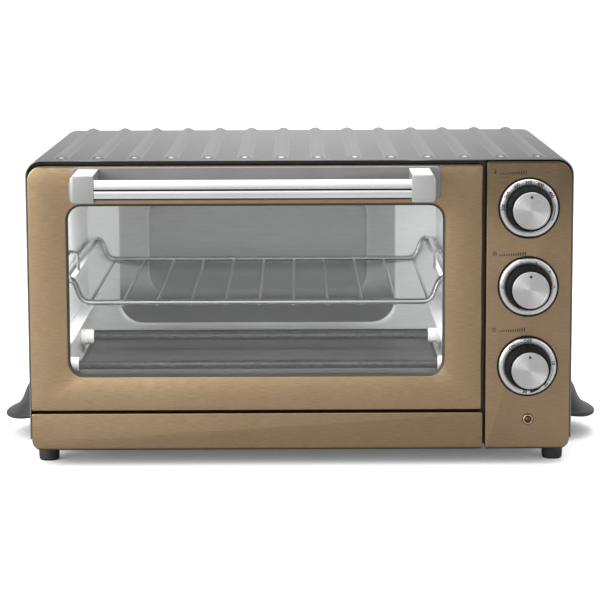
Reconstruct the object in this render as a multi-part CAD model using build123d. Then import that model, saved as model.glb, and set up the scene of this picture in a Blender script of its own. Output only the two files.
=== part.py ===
from build123d import *
import math
import os

# Convection toaster oven, in millimetres. +Z is up, the front faces -Y, +X is to the viewer's right.
# Inside this file Y is counted back from the front face of the door and the control panel.
# Saved pieces are moved so that the origin lies on the table, under the middle of the outer box.

# Overall
overall_depth = 384.0
handle_reach = 46.0
front_y = handle_reach - overall_depth / 2

# Cabinet
body_half = 202.0
base_z = 13.0
top_z = 230.0
body_back = 290.0
top_radius = 12.0
bottom_radius = 8.0
wrap_wall = 0.7
wrap_hem = 1.2
wrap_hem_depth = 6.0
wrap_front = 2.5
wrap_bottom = base_z + bottom_radius
sheet = 0.6
inner_half = body_half - wrap_wall
frame_front = 15.0
frame_back = frame_front + sheet
rear_face = 289.0

# Roof ribs and side louvres
rib_count = 14
rib_pitch = 27.15
rib_width = 10.8
rib_rise = 2.0
rib_nose = 12.0
louvre_count = 8
louvre_pitch = 14.0
louvre_length = 56.0
louvre_width = 3.0
louvre_y = 215.0
louvre_z = 150.0

# Vents in the base and the rear panel, right of the cavity
base_vent_count = 6
base_vent_pitch = 7.0
base_vent_left = 150.0
base_vent_rows = (80.0, 130.0)
rear_vent_count = 9
rear_vent_pitch = 14.0
rear_vent_bottom = 75.0
rear_vent_sides = (130.0, 186.0)
vent_width = 3.0

# Front panels
face_sheet = 1.2
panel_edge = 200.4
door_right = 134.6
door_bottom = 43.0
door_top = 225.8
door_depth = 12.0
strip_right = 135.8
strip_top = 40.7
control_left = 137.7
control_top = 228.0
window = (-172.7, 107.3, 68.3, 197.7)
window_radius = 12.0
inner_frame_bottom = 53.0
inner_frame_top = 208.5
glass_front = 4.0
glass_back = 8.0
inner_back = 13.5

# Door hinge
hinge_y = 4.0
hinge_z = 47.0
hinge_pin_radius = 1.2
hinge_fit = 0.05
bracket_left = -193.0
bracket_right = 125.1
bracket_sheet = 2.0

# Door handle
bar_left = -147.5
bar_right = 80.3
cap_width = 18.0
bar_z = 212.6
bar_height = 13.4
bar_depth = 11.0
bar_y = -39.0
cap_bottom = 201.4
cap_top = 223.6
cap_slope = 1.8
plate_left = -167.8
plate_right = 103.9
plate_bottom = 200.4
plate_top = 225.1
plate_rise = 2.0
handle_screw_radius = 1.5
handle_screw_reach = 15.0

# Cavity
cavity_left = -182.0
cavity_right = 117.0
cavity_floor_z = 51.0
cavity_ceiling_z = 207.0
cavity_back_y = 281.0
tray_slot_top = 58.5
dish = (-155.6, 82.2, 64.0, 196.0)
dish_floor = (-129.5, 57.0, 86.0, 174.0)
dish_depth = 26.0
dish_corner = 17.0
bulge = (-166.8, 93.4, 63.8, 207.2)
bulge_top = (-138.7, 66.2, 78.8, 183.2)
bulge_rise = 35.0 - sheet
bulge_corner = 24.0
pressed_bend = 5.0
bulge_flange = 5.0
frame_corner = 5.0

# Heating elements
heater_radius = 3.5
heater_rows = (70.0, 205.0)
lower_heater_z = 65.5
upper_heater_z = 198.0
insulator_radius = 6.5
insulator_length = 11.0

# Rack
rack_front = 25.0
rack_rear = 274.0
rack_wire = 2.2
rack_rod = 1.35
rack_z = 121.0
rack_rail_z = 138.5
rack_left = -176.0
rack_right = 111.0
rack_rod_first = -158.6
rack_rod_pitch = 25.6
rack_rod_count = 11
ledge_depth = 10.0
lower_ledge_z = 90.0

# Crumb tray
tray_left = -176.0
tray_right = 111.0
tray_z = 51.5
tray_rim = 57.0
tray_front = 20.0

# Dials
dial_x = 168.7
dial_heights = {"temperature": 193.8, "function": 135.5, "timer": 75.8}
ring_outer = 22.6
ring_inner = 17.3
ring_rise = 3.2
knob_radius = 16.5
knob_reach = 22.0
knob_face_radius = 13.6
shaft_radius = 3.0
shaft_fit = 0.05
panel_bore = 5.3
boss_radius = 5.0
lamp_x = 169.6
lamp_z = 35.5

# Fan, behind the right wall of the cavity
fan_y = 175.0
fan_z = 137.0
fan_radius = 42.0
fan_blades = 8
fan_cup_depth = 24.0
fan_cup_shoulder = 6.0
motor_shaft_radius = 2.5

# Feet and carrying handles
foot_x = 191.0
foot_rows = (30.0, 262.0)
foot_radius = 7.8
grip_y = 132.0
grip_half_length = 44.0
grip_reach = 33.6
grip_wall = 3.0

# Rear of the cabinet
spacer_x = 182.0
spacer_z = 204.0
bushing_x = 160.0
bushing_z = 36.0
rear_screw_xs = (-190.0, -60.0, 60.0, 190.0)
rear_screw_zs = (28.0, 221.0)


def save(name, shape):
    export_step(Pos(0, front_y, 0) * shape, f"parts/{name}.step")


def block(x0, x1, y0, y1, z0, z1):
    return Pos((x0 + x1) / 2, (y0 + y1) / 2, (z0 + z1) / 2) * Box(x1 - x0, y1 - y0, z1 - z0)


def rod(start, end, radius):
    """Round bar between two points."""
    run = Vector(*end) - Vector(*start)
    return Plane(origin=start, z_dir=run) * Pos(0, 0, run.length / 2) * Cylinder(radius, run.length)


def disc(x, z, y0, y1, radius):
    """Round bar along Y."""
    return rod((x, y0, z), (x, y1, z), radius)


def outline(x0, x1, z0, z1, corners):
    """Upright rectangle with its own radius at the top left, top right, bottom right and bottom left."""
    shape = Pos((x0 + x1) / 2, (z0 + z1) / 2) * Rectangle(x1 - x0, z1 - z0)
    for point, radius in zip(((x0, z1), (x1, z1), (x1, z0), (x0, z0)), corners):
        if radius > 0:
            shape = fillet(shape.vertices().sort_by_distance((point[0], point[1], 0))[0], radius)
    return shape


def panel(x0, x1, z0, z1, y0, y1, corners=(0, 0, 0, 0)):
    """Plate that faces the front, between y0 and y1."""
    return extrude(Plane.XZ.offset(-y1) * outline(x0, x1, z0, z1, corners), y1 - y0)


def cabinet_block(inset, y0, y1):
    """Block with the cabinet's front outline, drawn in by inset all round."""
    top = top_radius - inset
    bottom = bottom_radius - inset
    return panel(-body_half + inset, body_half - inset, base_z + inset, top_z - inset, y0, y1,
                 (top, top, bottom, bottom))


def tray_panel(x0, x1, z0, z1, depth, corners, front_radius, wall=face_sheet):
    """Pressed sheet panel: a face at y = 0 and a flange all round that runs back to depth."""
    outer = panel(x0, x1, z0, z1, 0, depth, corners)
    outer = fillet(outer.edges().group_by(Axis.Y)[0], front_radius)
    inner_corners = [max(radius - wall, 0) for radius in corners]
    inner = panel(x0 + wall, x1 - wall, z0 + wall, z1 - wall, wall, depth + 1, inner_corners)
    return outer - inner


def pressed_form(near, far, y0, y1, corner, bend):
    """Solid that narrows from one rectangle at y0 to a smaller one at y1, with rounded edges."""
    near_face = Plane.XZ.offset(-y0) * outline(*near, (0, 0, 0, 0))
    far_face = Plane.XZ.offset(-y1) * outline(*far, (0, 0, 0, 0))
    form = loft([near_face, far_face], ruled=True)
    form = fillet(form.edges().filter_by(lambda edge: edge.bounding_box().size.Y > 1), corner)
    return fillet(form.edges().group_by(Axis.Y)[-1], bend)


def pressed_sheet(near, far, y0, depth, corner, bend):
    """Outer and inner form of a hollow pressed in sheet. The margin allows for walls that lean about 45 degrees."""
    margin = 1.4 * sheet
    inner = pressed_form(near, far, y0, y0 + depth, corner, bend)
    outer = pressed_form(grown(near, margin), grown(far, margin), y0, y0 + depth + sheet, corner + margin,
                         bend + sheet)
    return outer, inner


def grown(rect, margin):
    return (rect[0] - margin, rect[1] + margin, rect[2] - margin, rect[3] + margin)


def wire(points, radius):
    """Round wire along straight runs."""
    path = Polyline(*points)
    start = Plane(origin=path @ 0, z_dir=path % 0)
    return sweep(start * Circle(radius), path=path, transition=Transition.RIGHT)


def make_outer_wrap():
    shell = cabinet_block(0, wrap_front, body_back)
    rib_radius = (rib_width ** 2 / 4 + rib_rise ** 2) / (2 * rib_rise)
    rib_axis_z = top_z + rib_rise - rib_radius
    nose_y = rib_nose + rib_width / 2
    for k in range(rib_count):
        x = (k - (rib_count - 1) / 2) * rib_pitch
        shell += rod((x, nose_y, rib_axis_z), (x, body_back, rib_axis_z), rib_radius)
        shell += Pos(x, nose_y, rib_axis_z) * Sphere(rib_radius)
    shell -= cabinet_block(wrap_hem, wrap_front - 1, wrap_front + wrap_hem_depth + 1)
    shell -= cabinet_block(wrap_wall, wrap_front + wrap_hem_depth, body_back + 1)
    shell -= block(-body_half - 1, body_half + 1, 0, body_back + 1, 0, wrap_bottom)
    for side in (-1, 1):
        for k in range(louvre_count):
            y = louvre_y + (k - (louvre_count - 1) / 2) * louvre_pitch
            slot = SlotOverall(louvre_length, louvre_width, rotation=90)
            cut = Plane.YZ.offset(side * body_half - 3) * Pos(y, louvre_z) * slot
            shell -= extrude(cut, 6)
    return shell


def make_base_pan():
    y0 = frame_back
    pan = cabinet_block(0, y0, body_back) - cabinet_block(wrap_wall, y0 - 1, body_back + 1)
    pan -= block(-body_half - 1, body_half + 1, y0 - 1, body_back + 1, wrap_bottom, top_z + 1)
    for side in (-1, 1):
        x0, x1 = sorted((side * inner_half, side * (inner_half - sheet)))
        pan += block(x0, x1, y0, rear_face - 2, wrap_bottom - 3, wrap_bottom + 11)
    for k in range(base_vent_count):
        x = base_vent_left + k * base_vent_pitch
        pan -= block(x, x + vent_width, *base_vent_rows, base_z - 1, base_z + 1)
    return pan


def make_front_frame():
    frame = cabinet_block(wrap_wall, frame_front, frame_back)
    frame -= panel(cavity_left, cavity_right, cavity_floor_z, cavity_ceiling_z, 0, 30,
                   [frame_corner] * 4)
    for z in dial_heights.values():
        frame -= disc(dial_x, z, 0, 30, panel_bore)
    frame -= disc(lamp_x, lamp_z, 0, 30, 4.5)
    return frame


def make_rear_panel():
    y0 = rear_face - sheet
    plate = cabinet_block(wrap_wall, y0, rear_face)
    plate -= panel(*grown(bulge, -2), y0 - 1, rear_face + 1, [bulge_corner - 2] * 4)
    plate -= block(tray_left - 2, tray_right + 2, y0 - 1, rear_face + 1, cavity_floor_z, tray_slot_top - 1.5)
    for k in range(rear_vent_count):
        z = rear_vent_bottom + k * rear_vent_pitch
        plate -= block(*rear_vent_sides, y0 - 1, rear_face + 1, z, z + vent_width)
    return plate - disc(bushing_x, bushing_z, y0 - 1, rear_face + 1, 6)


def make_rear_bulge_cover():
    """Pressed cover on the rear panel that makes room for the dish of the cavity."""
    outer, inner = pressed_sheet(bulge, bulge_top, rear_face, bulge_rise, bulge_corner, pressed_bend)
    x0, x1, z0, z1 = grown(bulge, bulge_flange)
    flange = panel(x0, x1, z0 + bulge_flange - 2, z1, rear_face, rear_face + sheet, [bulge_corner + 2] * 4)
    return flange + outer - inner


def make_lower_strip():
    return tray_panel(-panel_edge, strip_right, base_z, strip_top, frame_front, (1.5, 1.5, 1.5, 7), 1.0)


def make_control_panel():
    shape = tray_panel(control_left, panel_edge, base_z, control_top, frame_front, (1.5, 11.4, 7.5, 1.5), 1.0)
    for z in dial_heights.values():
        shape -= disc(dial_x, z, -1, 4, panel_bore)
    shape -= disc(lamp_x, lamp_z, -1, 4, 3.3)
    return shape


def make_door_panel():
    corners = (11, 2, 1.5, 1.5)
    outer = panel(-panel_edge, door_right, door_bottom, door_top, 0, door_depth, corners)
    front_edges = outer.edges().group_by(Axis.Y)[0]
    lower_edge = front_edges.sort_by(Axis.Z)[0]
    outer = fillet(lower_edge, hinge_y)
    inner = panel(-panel_edge + face_sheet, door_right - face_sheet, door_bottom + face_sheet,
                  door_top - face_sheet, face_sheet, door_depth + 1, (11 - face_sheet, 1, 0, 0))
    inner_edge = inner.edges().group_by(Axis.Y)[0].sort_by(Axis.Z)[0]
    inner = fillet(inner_edge, hinge_y - face_sheet)
    shell = outer - inner
    lip = panel(*grown(window, face_sheet), face_sheet, glass_front, [window_radius + face_sheet] * 4)
    shell += lip
    shell -= panel(*window, -1, glass_front + 1, [window_radius] * 4)
    notch_front = hinge_y - hinge_y * math.sin(math.radians(45))
    for x in (bracket_left, bracket_right):
        shell -= block(x - 1, x + bracket_sheet + 1, notch_front, door_depth + 1, door_bottom - 1, door_bottom + 7)
    for x in handle_screw_xs():
        shell -= disc(x, bar_z, -1, 3, 1.7)
    return shell


def make_door_inner_frame():
    rim = (cavity_left - 1, cavity_right + 1, inner_frame_bottom, inner_frame_top)
    opening = grown(window, 1.5)
    plate = panel(*rim, face_sheet, inner_back, [6] * 4)
    plate -= panel(*grown(rim, -sheet), 0, inner_back - sheet, [5] * 4)
    plate += panel(*grown(opening, sheet), glass_back, inner_back, [window_radius + 2.5] * 4)
    plate -= panel(*opening, 0, inner_back + 1, [window_radius + 1.5] * 4)
    return plate


def make_door_glass():
    return panel(*grown(window, 7), glass_front, glass_back, [window_radius + 4] * 4)


def handle_screw_xs():
    return (bar_left - cap_width / 2, bar_right + cap_width / 2)


def make_handle_base_plate():
    plate = panel(plate_left, plate_right, plate_bottom, plate_top, -plate_rise, 0, [4] * 4)
    plate = fillet(plate.edges().group_by(Axis.Y)[0], 1.2)
    for x in handle_screw_xs():
        plate -= disc(x, bar_z, -5, 1, 1.7)
    return plate


def make_handle_cap(x0, x1):
    """End bracket of the handle, a moulded arm that stands out from the base plate and holds the bar's end."""
    front_top = cap_top - cap_slope
    front_bottom = cap_bottom + 1
    with BuildPart() as arm:
        with BuildSketch(Plane.YZ.offset(x0)):
            with BuildLine():
                Polyline((-plate_rise, cap_bottom), (-plate_rise, cap_top), (-handle_reach + 4, front_top))
                RadiusArc((-handle_reach + 4, front_top), (-handle_reach, front_top - 4.3), -4.5)
                Line((-handle_reach, front_top - 4.3), (-handle_reach, front_bottom + 5.1))
                RadiusArc((-handle_reach, front_bottom + 5.1), (-handle_reach + 6, front_bottom), -6.5)
                Line((-handle_reach + 6, front_bottom), (-plate_rise, cap_bottom))
            make_face()
        extrude(amount=x1 - x0)
    shape = arm.part
    outer_x = x0 if x0 < bar_left - 1 else x1
    outer_face = shape.faces().sort_by(lambda face: abs(face.center().X - outer_x))[0]
    shape = fillet(outer_face.edges().filter_by(lambda edge: edge.center().Y < -plate_rise - 1), 2.0)
    x = (x0 + x1) / 2
    return shape - disc(x, bar_z, -16, 0, 1.7)


def make_handle_bar():
    """Grip bar: two rounded beads, one above the other, with a flat back."""
    bead = bar_height / 4 + 0.2
    y_front = bar_y - bar_depth / 2 + bead
    bar = block(bar_left, bar_right, y_front, bar_y + bar_depth / 2, bar_z - bar_height / 2, bar_z + bar_height / 2)
    bar = fillet(bar.edges().filter_by(Axis.X).group_by(Axis.Y)[-1], 2.5)
    for side in (-1, 1):
        z = bar_z + side * (bar_height / 2 - bead)
        bar += rod((bar_left, y_front, z), (bar_right, y_front, z), bead)
    return bar


def make_handle_screws():
    screws = []
    for x in handle_screw_xs():
        head = disc(x, bar_z, face_sheet, face_sheet + 1.8, 2 * handle_screw_radius)
        screws.append(head + disc(x, bar_z, -handle_screw_reach, face_sheet, handle_screw_radius))
    return Compound(screws)


def make_hinge_bracket(x0, foot_side):
    """Arm on the front frame that holds the door's hinge pin in an eye."""
    x1 = x0 + bracket_sheet
    arm = block(x0, x1, hinge_y, frame_front, hinge_z - 2.5, hinge_z + 2.5)
    arm += rod((x0, hinge_y, hinge_z), (x1, hinge_y, hinge_z), 2.5)
    foot_x0, foot_x1 = (x0 - 6, x1) if foot_side < 0 else (x0, x1 + 6)
    arm += block(foot_x0, foot_x1, frame_front - 1.2, frame_front, hinge_z - 2.5, hinge_z + 15)
    return arm - rod((x0 - 1, hinge_y, hinge_z), (x1 + 1, hinge_y, hinge_z), hinge_pin_radius + hinge_fit)


def make_hinge_pins():
    left = rod((-panel_edge + face_sheet, hinge_y, hinge_z), (bracket_left + 4, hinge_y, hinge_z), hinge_pin_radius)
    right = rod((bracket_right - 2, hinge_y, hinge_z), (door_right - face_sheet, hinge_y, hinge_z), hinge_pin_radius)
    return Compound([left, right])


def make_rack_hook(x_wall, inward):
    """Bent wire on the door that draws the rack out as the door opens."""
    x = x_wall + inward * 9.5
    points = [(x, inner_back, 159.0), (x, 30.0, 159.0), (x + inward * 6, 30.0, 157.5), (x + inward * 6, 30.0, 144.5)]
    return wire(points, 1.2)


def make_cavity_sheets():
    left = block(cavity_left - sheet, cavity_left, frame_back, cavity_back_y, cavity_floor_z, cavity_ceiling_z)
    right = block(cavity_right, cavity_right + sheet, frame_back, cavity_back_y, cavity_floor_z, cavity_ceiling_z)
    for k in range(12):
        turn = Rot(0, 0, k * 30)
        cut = Plane.YZ.offset(cavity_right - 1) * Pos(fan_y, fan_z) * turn * Pos(27, 0) * SlotOverall(24, 4)
        right -= extrude(cut, 4)
    right -= rod((cavity_right - 1, fan_y, fan_z), (cavity_right + 3, fan_y, fan_z), 6)
    ceiling = block(cavity_left - sheet, cavity_right + sheet, frame_back, cavity_back_y, cavity_ceiling_z,
                    cavity_ceiling_z + sheet)
    floor = block(cavity_left - sheet, cavity_right + sheet, frame_back, rear_face - sheet, cavity_floor_z - sheet,
                  cavity_floor_z)
    return {"cavity_left_wall": left, "cavity_right_wall": right, "cavity_ceiling": ceiling, "cavity_floor": floor}


def make_cavity_back():
    y0 = cavity_back_y
    plate = panel(cavity_left - sheet, cavity_right + sheet, tray_slot_top, cavity_ceiling_z + sheet, y0, y0 + sheet)
    outer, inner = pressed_sheet(dish, dish_floor, y0, dish_depth, dish_corner, pressed_bend)
    return plate + outer - inner


def make_rack_guide(x_wall, inward):
    """Two pressed ledges on a side wall, one for each rack height."""
    x0, x1 = sorted((x_wall, x_wall + inward * ledge_depth))
    ledge_top = rack_rail_z - rack_wire - 0.3
    solids = []
    for top in (ledge_top, lower_ledge_z):
        lip_x0, lip_x1 = sorted((x_wall, x_wall + inward * sheet))
        ledge = block(x0, x1, frame_back + 3, cavity_back_y - 4, top - sheet, top)
        ledge += block(lip_x0, lip_x1, frame_back + 3, cavity_back_y - 4, top - 6, top)
        solids.append(ledge)
    return Compound(solids)


def make_heater(y, z):
    return rod((cavity_left + insulator_length - 4, y, z), (cavity_right - insulator_length + 4, y, z), heater_radius)


def make_insulators(z):
    """White ceramic holders at both ends of a pair of heating elements."""
    solids = []
    for y in heater_rows:
        for wall, inward in ((cavity_left, 1), (cavity_right, -1)):
            mouth = wall + inward * insulator_length
            solid = rod((wall, y, z), (mouth, y, z), insulator_radius)
            solids.append(solid - rod((mouth - inward * 4, y, z), (mouth + inward, y, z), heater_radius + 0.2))
    return Compound(solids)


def make_rack():
    """Basket rack: a sunken grid of rods between two end rails that climb to the side rails."""
    rod_z = rack_z - 1.4
    rack = None
    for y in (rack_front, rack_rear):
        points = [(rack_left, y, rack_rail_z), (rack_left + 6, y, rack_rail_z), (rack_left + 12, y, rack_z),
                  (rack_right - 12, y, rack_z), (rack_right - 6, y, rack_rail_z), (rack_right, y, rack_rail_z)]
        rail = wire(points, rack_wire)
        rack = rail if rack is None else rack + rail
    for x in (rack_left, rack_right):
        rack += rod((x, rack_front - rack_wire, rack_rail_z), (x, rack_rear + rack_wire, rack_rail_z), rack_wire)
    for k in range(rack_rod_count):
        x = rack_rod_first + k * rack_rod_pitch
        rack += rod((x, rack_front - 1, rod_z), (x, rack_rear + 1, rod_z), rack_rod)
    return rack


def make_crumb_tray():
    rear = rear_face + 0.5
    tray = block(tray_left, tray_right, tray_front, rear, tray_z, tray_rim)
    tray -= block(tray_left + sheet, tray_right - sheet, tray_front + sheet, rear - 4, tray_z + sheet, tray_rim + 1)
    tray += block(tray_left - 5, tray_right + 5, rear, rear + 1.2, cavity_floor_z - 3, tray_rim + 4)
    middle = (tray_left + tray_right) / 2
    tray += block(middle - 30, middle + 30, rear, rear + 13, tray_rim + 2.8, tray_rim + 4)
    return tray


def revolved(profile, x, z):
    """Turned part about a Y axis. The profile gives radius and y."""
    face = make_face(Polyline(*profile, close=True))
    turned = revolve(face, Axis.Y, 360)
    return Pos(x, 0, z) * turned


def make_dial_ring(z):
    profile = [(ring_inner, 0), (ring_outer, 0), (ring_outer, -1.6), (ring_outer - 1.4, -ring_rise),
               (ring_inner + 0.6, -ring_rise), (ring_inner, -ring_rise + 0.6)]
    return revolved(profile, dial_x, z)


def make_knob_body(z):
    reach = knob_reach - 0.8
    profile = [(shaft_radius + shaft_fit, -1), (knob_radius, -1), (knob_radius, -5), (knob_radius - 1.2, -reach + 2),
               (knob_radius - 2, -reach), (0, -reach), (0, -14), (shaft_radius + shaft_fit, -14)]
    return revolved(profile, dial_x, z)


def make_knob_face(z):
    inner = knob_face_radius - 0.8
    profile = [(0, -knob_reach + 0.8), (knob_face_radius, -knob_reach + 0.8), (inner, -knob_reach), (0, -knob_reach)]
    pointer_z = z + knob_face_radius - 3.6
    return revolved(profile, dial_x, z) - disc(dial_x, pointer_z, -knob_reach - 1, -knob_reach + 0.4, 1.1)


def make_shaft(z):
    return disc(dial_x, z, -14, frame_back + 12, shaft_radius)


def bore_for_shaft(z):
    return disc(dial_x, z, 0, frame_back + 14, shaft_radius + shaft_fit)


def make_thermostat():
    z = dial_heights["temperature"]
    body = block(dial_x - 17, dial_x + 17, frame_back, frame_back + 20, z - 13, z + 13)
    body += disc(dial_x, z, frame_front - 8, frame_back, boss_radius)
    body += block(dial_x - 12, dial_x + 12, frame_back + 20, frame_back + 28, z - 4, z + 4)
    for side in (-1, 1):
        body += block(dial_x + side * 13 - 3, dial_x + side * 13 + 3, frame_back + 20, frame_back + 30, z + 8, z + 9)
    return body - bore_for_shaft(z)


def make_function_switch():
    z = dial_heights["function"]
    body = fillet(block(dial_x - 16, dial_x + 16, frame_back, frame_back + 26, z - 16, z + 16).edges().filter_by(
        Axis.Y), 3)
    body += disc(dial_x, z, frame_front - 8, frame_back, boss_radius)
    for k in range(4):
        x = dial_x - 12 + k * 8
        body += block(x - 2.4, x + 2.4, frame_back + 26, frame_back + 34, z - 10, z - 9.2)
        body += block(x - 2.4, x + 2.4, frame_back + 26, frame_back + 34, z + 9.2, z + 10)
    return body - bore_for_shaft(z)


def make_timer():
    """Clockwork timer: a round case with a bell on its back."""
    z = dial_heights["timer"]
    case_back = frame_back + 24
    body = disc(dial_x, z, frame_back, case_back, 24)
    body += disc(dial_x, z, frame_front - 8, frame_back, boss_radius)
    body += disc(dial_x, z, case_back, case_back + 6, 5)
    bell = [(0, case_back + 6), (20, case_back + 6), (20, case_back + 10), (13, case_back + 16), (0, case_back + 16)]
    return body + revolved(bell, dial_x, z) - bore_for_shaft(z)


def make_indicator_bezel():
    profile = [(2.7, -1.4), (3.6, -1.4), (4.4, 0), (3.2, 0), (3.2, 9), (2.7, 9)]
    return revolved(profile, lamp_x, lamp_z)


def make_indicator_lens():
    profile = [(0, -2.2), (1.4, -1.9), (2.3, -1.1), (2.6, -0.2), (2.6, 12), (0, 12)]
    return revolved(profile, lamp_x, lamp_z)


def make_fan_housing():
    """Pressed cup around the fan, with a flange against the wall and a hole for the motor shaft."""
    rim = fan_radius + 8
    depth = fan_cup_depth
    shoulder = fan_cup_shoulder
    inner_shoulder = shoulder + 0.4 * sheet
    profile = [(depth, 4), (depth, rim - shoulder), (depth - shoulder, rim), (sheet, rim), (sheet, rim + 6),
               (0, rim + 6), (0, rim - sheet), (depth - inner_shoulder, rim - sheet),
               (depth - sheet, rim - inner_shoulder), (depth - sheet, 4)]
    face = make_face(Polyline(*profile, close=True))
    return Pos(cavity_right + sheet, fan_y, fan_z) * revolve(face, Axis.X, 360)


def make_fan_motor():
    """Shaded-pole motor: a stack of laminations with a coil below and a bearing bridge in front."""
    x0 = cavity_right + sheet + fan_cup_depth
    stack = block(x0 + 8, x0 + 26, fan_y - 24, fan_y + 24, fan_z - 20, fan_z + 24)
    stack = fillet(stack.edges().filter_by(Axis.X), 5)
    coil = fillet(block(x0 + 4, x0 + 30, fan_y - 17, fan_y + 17, fan_z - 38, fan_z - 20).edges().filter_by(Axis.Y), 4)
    motor = stack + coil
    motor += block(x0 + 4, x0 + 8, fan_y - 26, fan_y + 26, fan_z - 6, fan_z + 6)
    for side in (-1, 1):
        motor += rod((x0, fan_y + side * 21, fan_z), (x0 + 4, fan_y + side * 21, fan_z), 3.5)
    bearing = rod((x0 + 2, fan_y, fan_z), (x0 + 8, fan_y, fan_z), 6)
    bore = rod((x0 - 1, fan_y, fan_z), (x0 + 22, fan_y, fan_z), motor_shaft_radius + shaft_fit)
    return motor + bearing - bore


def make_fan_blade():
    """Radial convection fan on its shaft: a back disc with flat vanes and a hub."""
    x0 = cavity_right + sheet + 18
    fan = rod((x0, fan_y, fan_z), (x0 + sheet, fan_y, fan_z), fan_radius)
    fan += rod((x0 - 12, fan_y, fan_z), (x0 + sheet, fan_y, fan_z), 7)
    for k in range(fan_blades):
        vane = Pos(x0 - 6, 0, 0) * Pos(0, (fan_radius + 5) / 2, 0) * Box(12, fan_radius - 6.5, 1.2)
        fan += Pos(0, fan_y, fan_z) * Rot(k * 360 / fan_blades, 0, 0) * vane
    return fan + rod((x0 - 10, fan_y, fan_z), (x0 + 26, fan_y, fan_z), motor_shaft_radius)


def make_foot(x, y):
    """Turned foot, wider at the cabinet, with a soft rounded lower edge."""
    profile = [(0, 0), (foot_radius - 1.2, 0), (foot_radius - 0.3, 0.9), (foot_radius, 4), (foot_radius, base_z),
               (0, base_z)]
    face = make_face(Plane.XZ * Polyline(*profile, close=True))
    return Pos(x, y, 0) * revolve(face, Axis.Z, 360)


def grip_block(shoulder, flare, underside, reach, half_length):
    """Wing with a side section of two arcs over an underside, cut to a round plan. Sections give reach and height."""
    upper = ThreePointArc(*shoulder) + ThreePointArc(*flare)
    section = make_face(upper + Polyline(flare[-1], *underside, shoulder[0]))
    plan_arc = ThreePointArc((0, -half_length), (reach, 0), (0, half_length))
    plan = make_face(plan_arc + Line((0, half_length), (0, -half_length)))
    wing = extrude(Plane.XZ.offset(-half_length) * section, 2 * half_length)
    return wing & extrude(Plane.XY * plan, 60)


def make_grip():
    """Right carrying handle: a flared wing with a hollow for the fingers below."""
    wing = grip_block([(0, 46), (12.6, 43.2), (21.6, 36.5)], [(21.6, 36.5), (26, 26.6), (grip_reach, 18.6)],
                      [(grip_reach, 15.8), (29, 13.9), (16, 10.7), (0, 9.5)], grip_reach, grip_half_length)
    recess = grip_block([(2.5, 42.4), (11.4, 39.9), (18.6, 34.4)], [(18.6, 34.4), (23, 24.7), (30.4, 17)],
                        [(30.4, 0), (2.5, 0)], grip_reach - grip_wall, grip_half_length - 5)
    return Pos(body_half, grip_y, 0) * (wing - recess)


def make_rear_spacers():
    """Posts that keep the back of the oven off the wall."""
    reach = overall_depth - handle_reach
    solids = []
    profile = [(0, rear_face), (10, rear_face), (10, rear_face + 3), (8, rear_face + 5), (6.5, reach - 2),
               (5, reach), (0, reach)]
    for side in (-1, 1):
        solids.append(revolved(profile, side * spacer_x, spacer_z))
    return Compound(solids)


def make_rear_screws():
    solids = []
    for x in rear_screw_xs:
        for z in rear_screw_zs:
            solids.append(disc(x, z, rear_face, rear_face + 1.6, 3.2))
    return Compound(solids)


def make_cord_bushing():
    """Bushing that lines the mains inlet in the rear panel."""
    ring = disc(bushing_x, bushing_z, rear_face, rear_face + 2.5, 9)
    ring += disc(bushing_x, bushing_z, rear_face - sheet - 1.5, rear_face, 6)
    return ring - disc(bushing_x, bushing_z, rear_face - 10, rear_face + 10, 3.6)


def build():
    save("outer_wrap", make_outer_wrap())
    save("base_pan", make_base_pan())
    save("rear_panel", make_rear_panel())
    save("rear_bulge_cover", make_rear_bulge_cover())
    save("front_frame", make_front_frame())
    save("lower_front_strip", make_lower_strip())
    save("control_panel", make_control_panel())
    for name, shape in make_cavity_sheets().items():
        save(name, shape)
    save("cavity_back", make_cavity_back())
    save("rack_guide_left", make_rack_guide(cavity_left, 1))
    save("rack_guide_right", make_rack_guide(cavity_right, -1))
    for level, z in (("lower", lower_heater_z), ("upper", upper_heater_z)):
        for row, y in zip(("front", "rear"), heater_rows):
            save(f"heater_{level}_{row}", make_heater(y, z))
        save(f"{level}_heater_insulators", make_insulators(z))
    save("door_panel", make_door_panel())
    save("door_inner_frame", make_door_inner_frame())
    save("door_glass", make_door_glass())
    save("handle_base_plate", make_handle_base_plate())
    save("handle_cap_left", make_handle_cap(bar_left - cap_width, bar_left))
    save("handle_cap_right", make_handle_cap(bar_right, bar_right + cap_width))
    save("handle_bar", make_handle_bar())
    save("handle_screws", make_handle_screws())
    save("hinge_brackets", Compound([make_hinge_bracket(bracket_left, -1), make_hinge_bracket(bracket_right, 1)]))
    save("door_hinge_pins", make_hinge_pins())
    save("rack_hooks", Compound([make_rack_hook(cavity_left, 1), make_rack_hook(cavity_right, -1)]))
    save("oven_rack", make_rack())
    save("crumb_tray", make_crumb_tray())
    for name, z in dial_heights.items():
        save(f"{name}_dial_ring", make_dial_ring(z))
        save(f"{name}_knob", make_knob_body(z))
        save(f"{name}_knob_face", make_knob_face(z))
        save(f"{name}_shaft", make_shaft(z))
    save("thermostat", make_thermostat())
    save("function_switch", make_function_switch())
    save("timer", make_timer())
    save("indicator_bezel", make_indicator_bezel())
    save("indicator_lens", make_indicator_lens())
    save("fan_housing", make_fan_housing())
    save("fan_motor", make_fan_motor())
    save("fan_blade", make_fan_blade())
    for row, y in zip(("front", "rear"), foot_rows):
        save(f"{row}_feet", Compound([make_foot(-foot_x, y), make_foot(foot_x, y)]))
    grip = make_grip()
    save("side_handle_right", grip)
    save("side_handle_left", mirror(grip, Plane.YZ))
    save("rear_spacers", make_rear_spacers())
    save("rear_screws", make_rear_screws())
    save("cord_inlet_bushing", make_cord_bushing())


os.makedirs("parts", exist_ok=True)
build()
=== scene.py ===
import bpy
import bmesh
import math
from mathutils import Matrix, Vector


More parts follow.
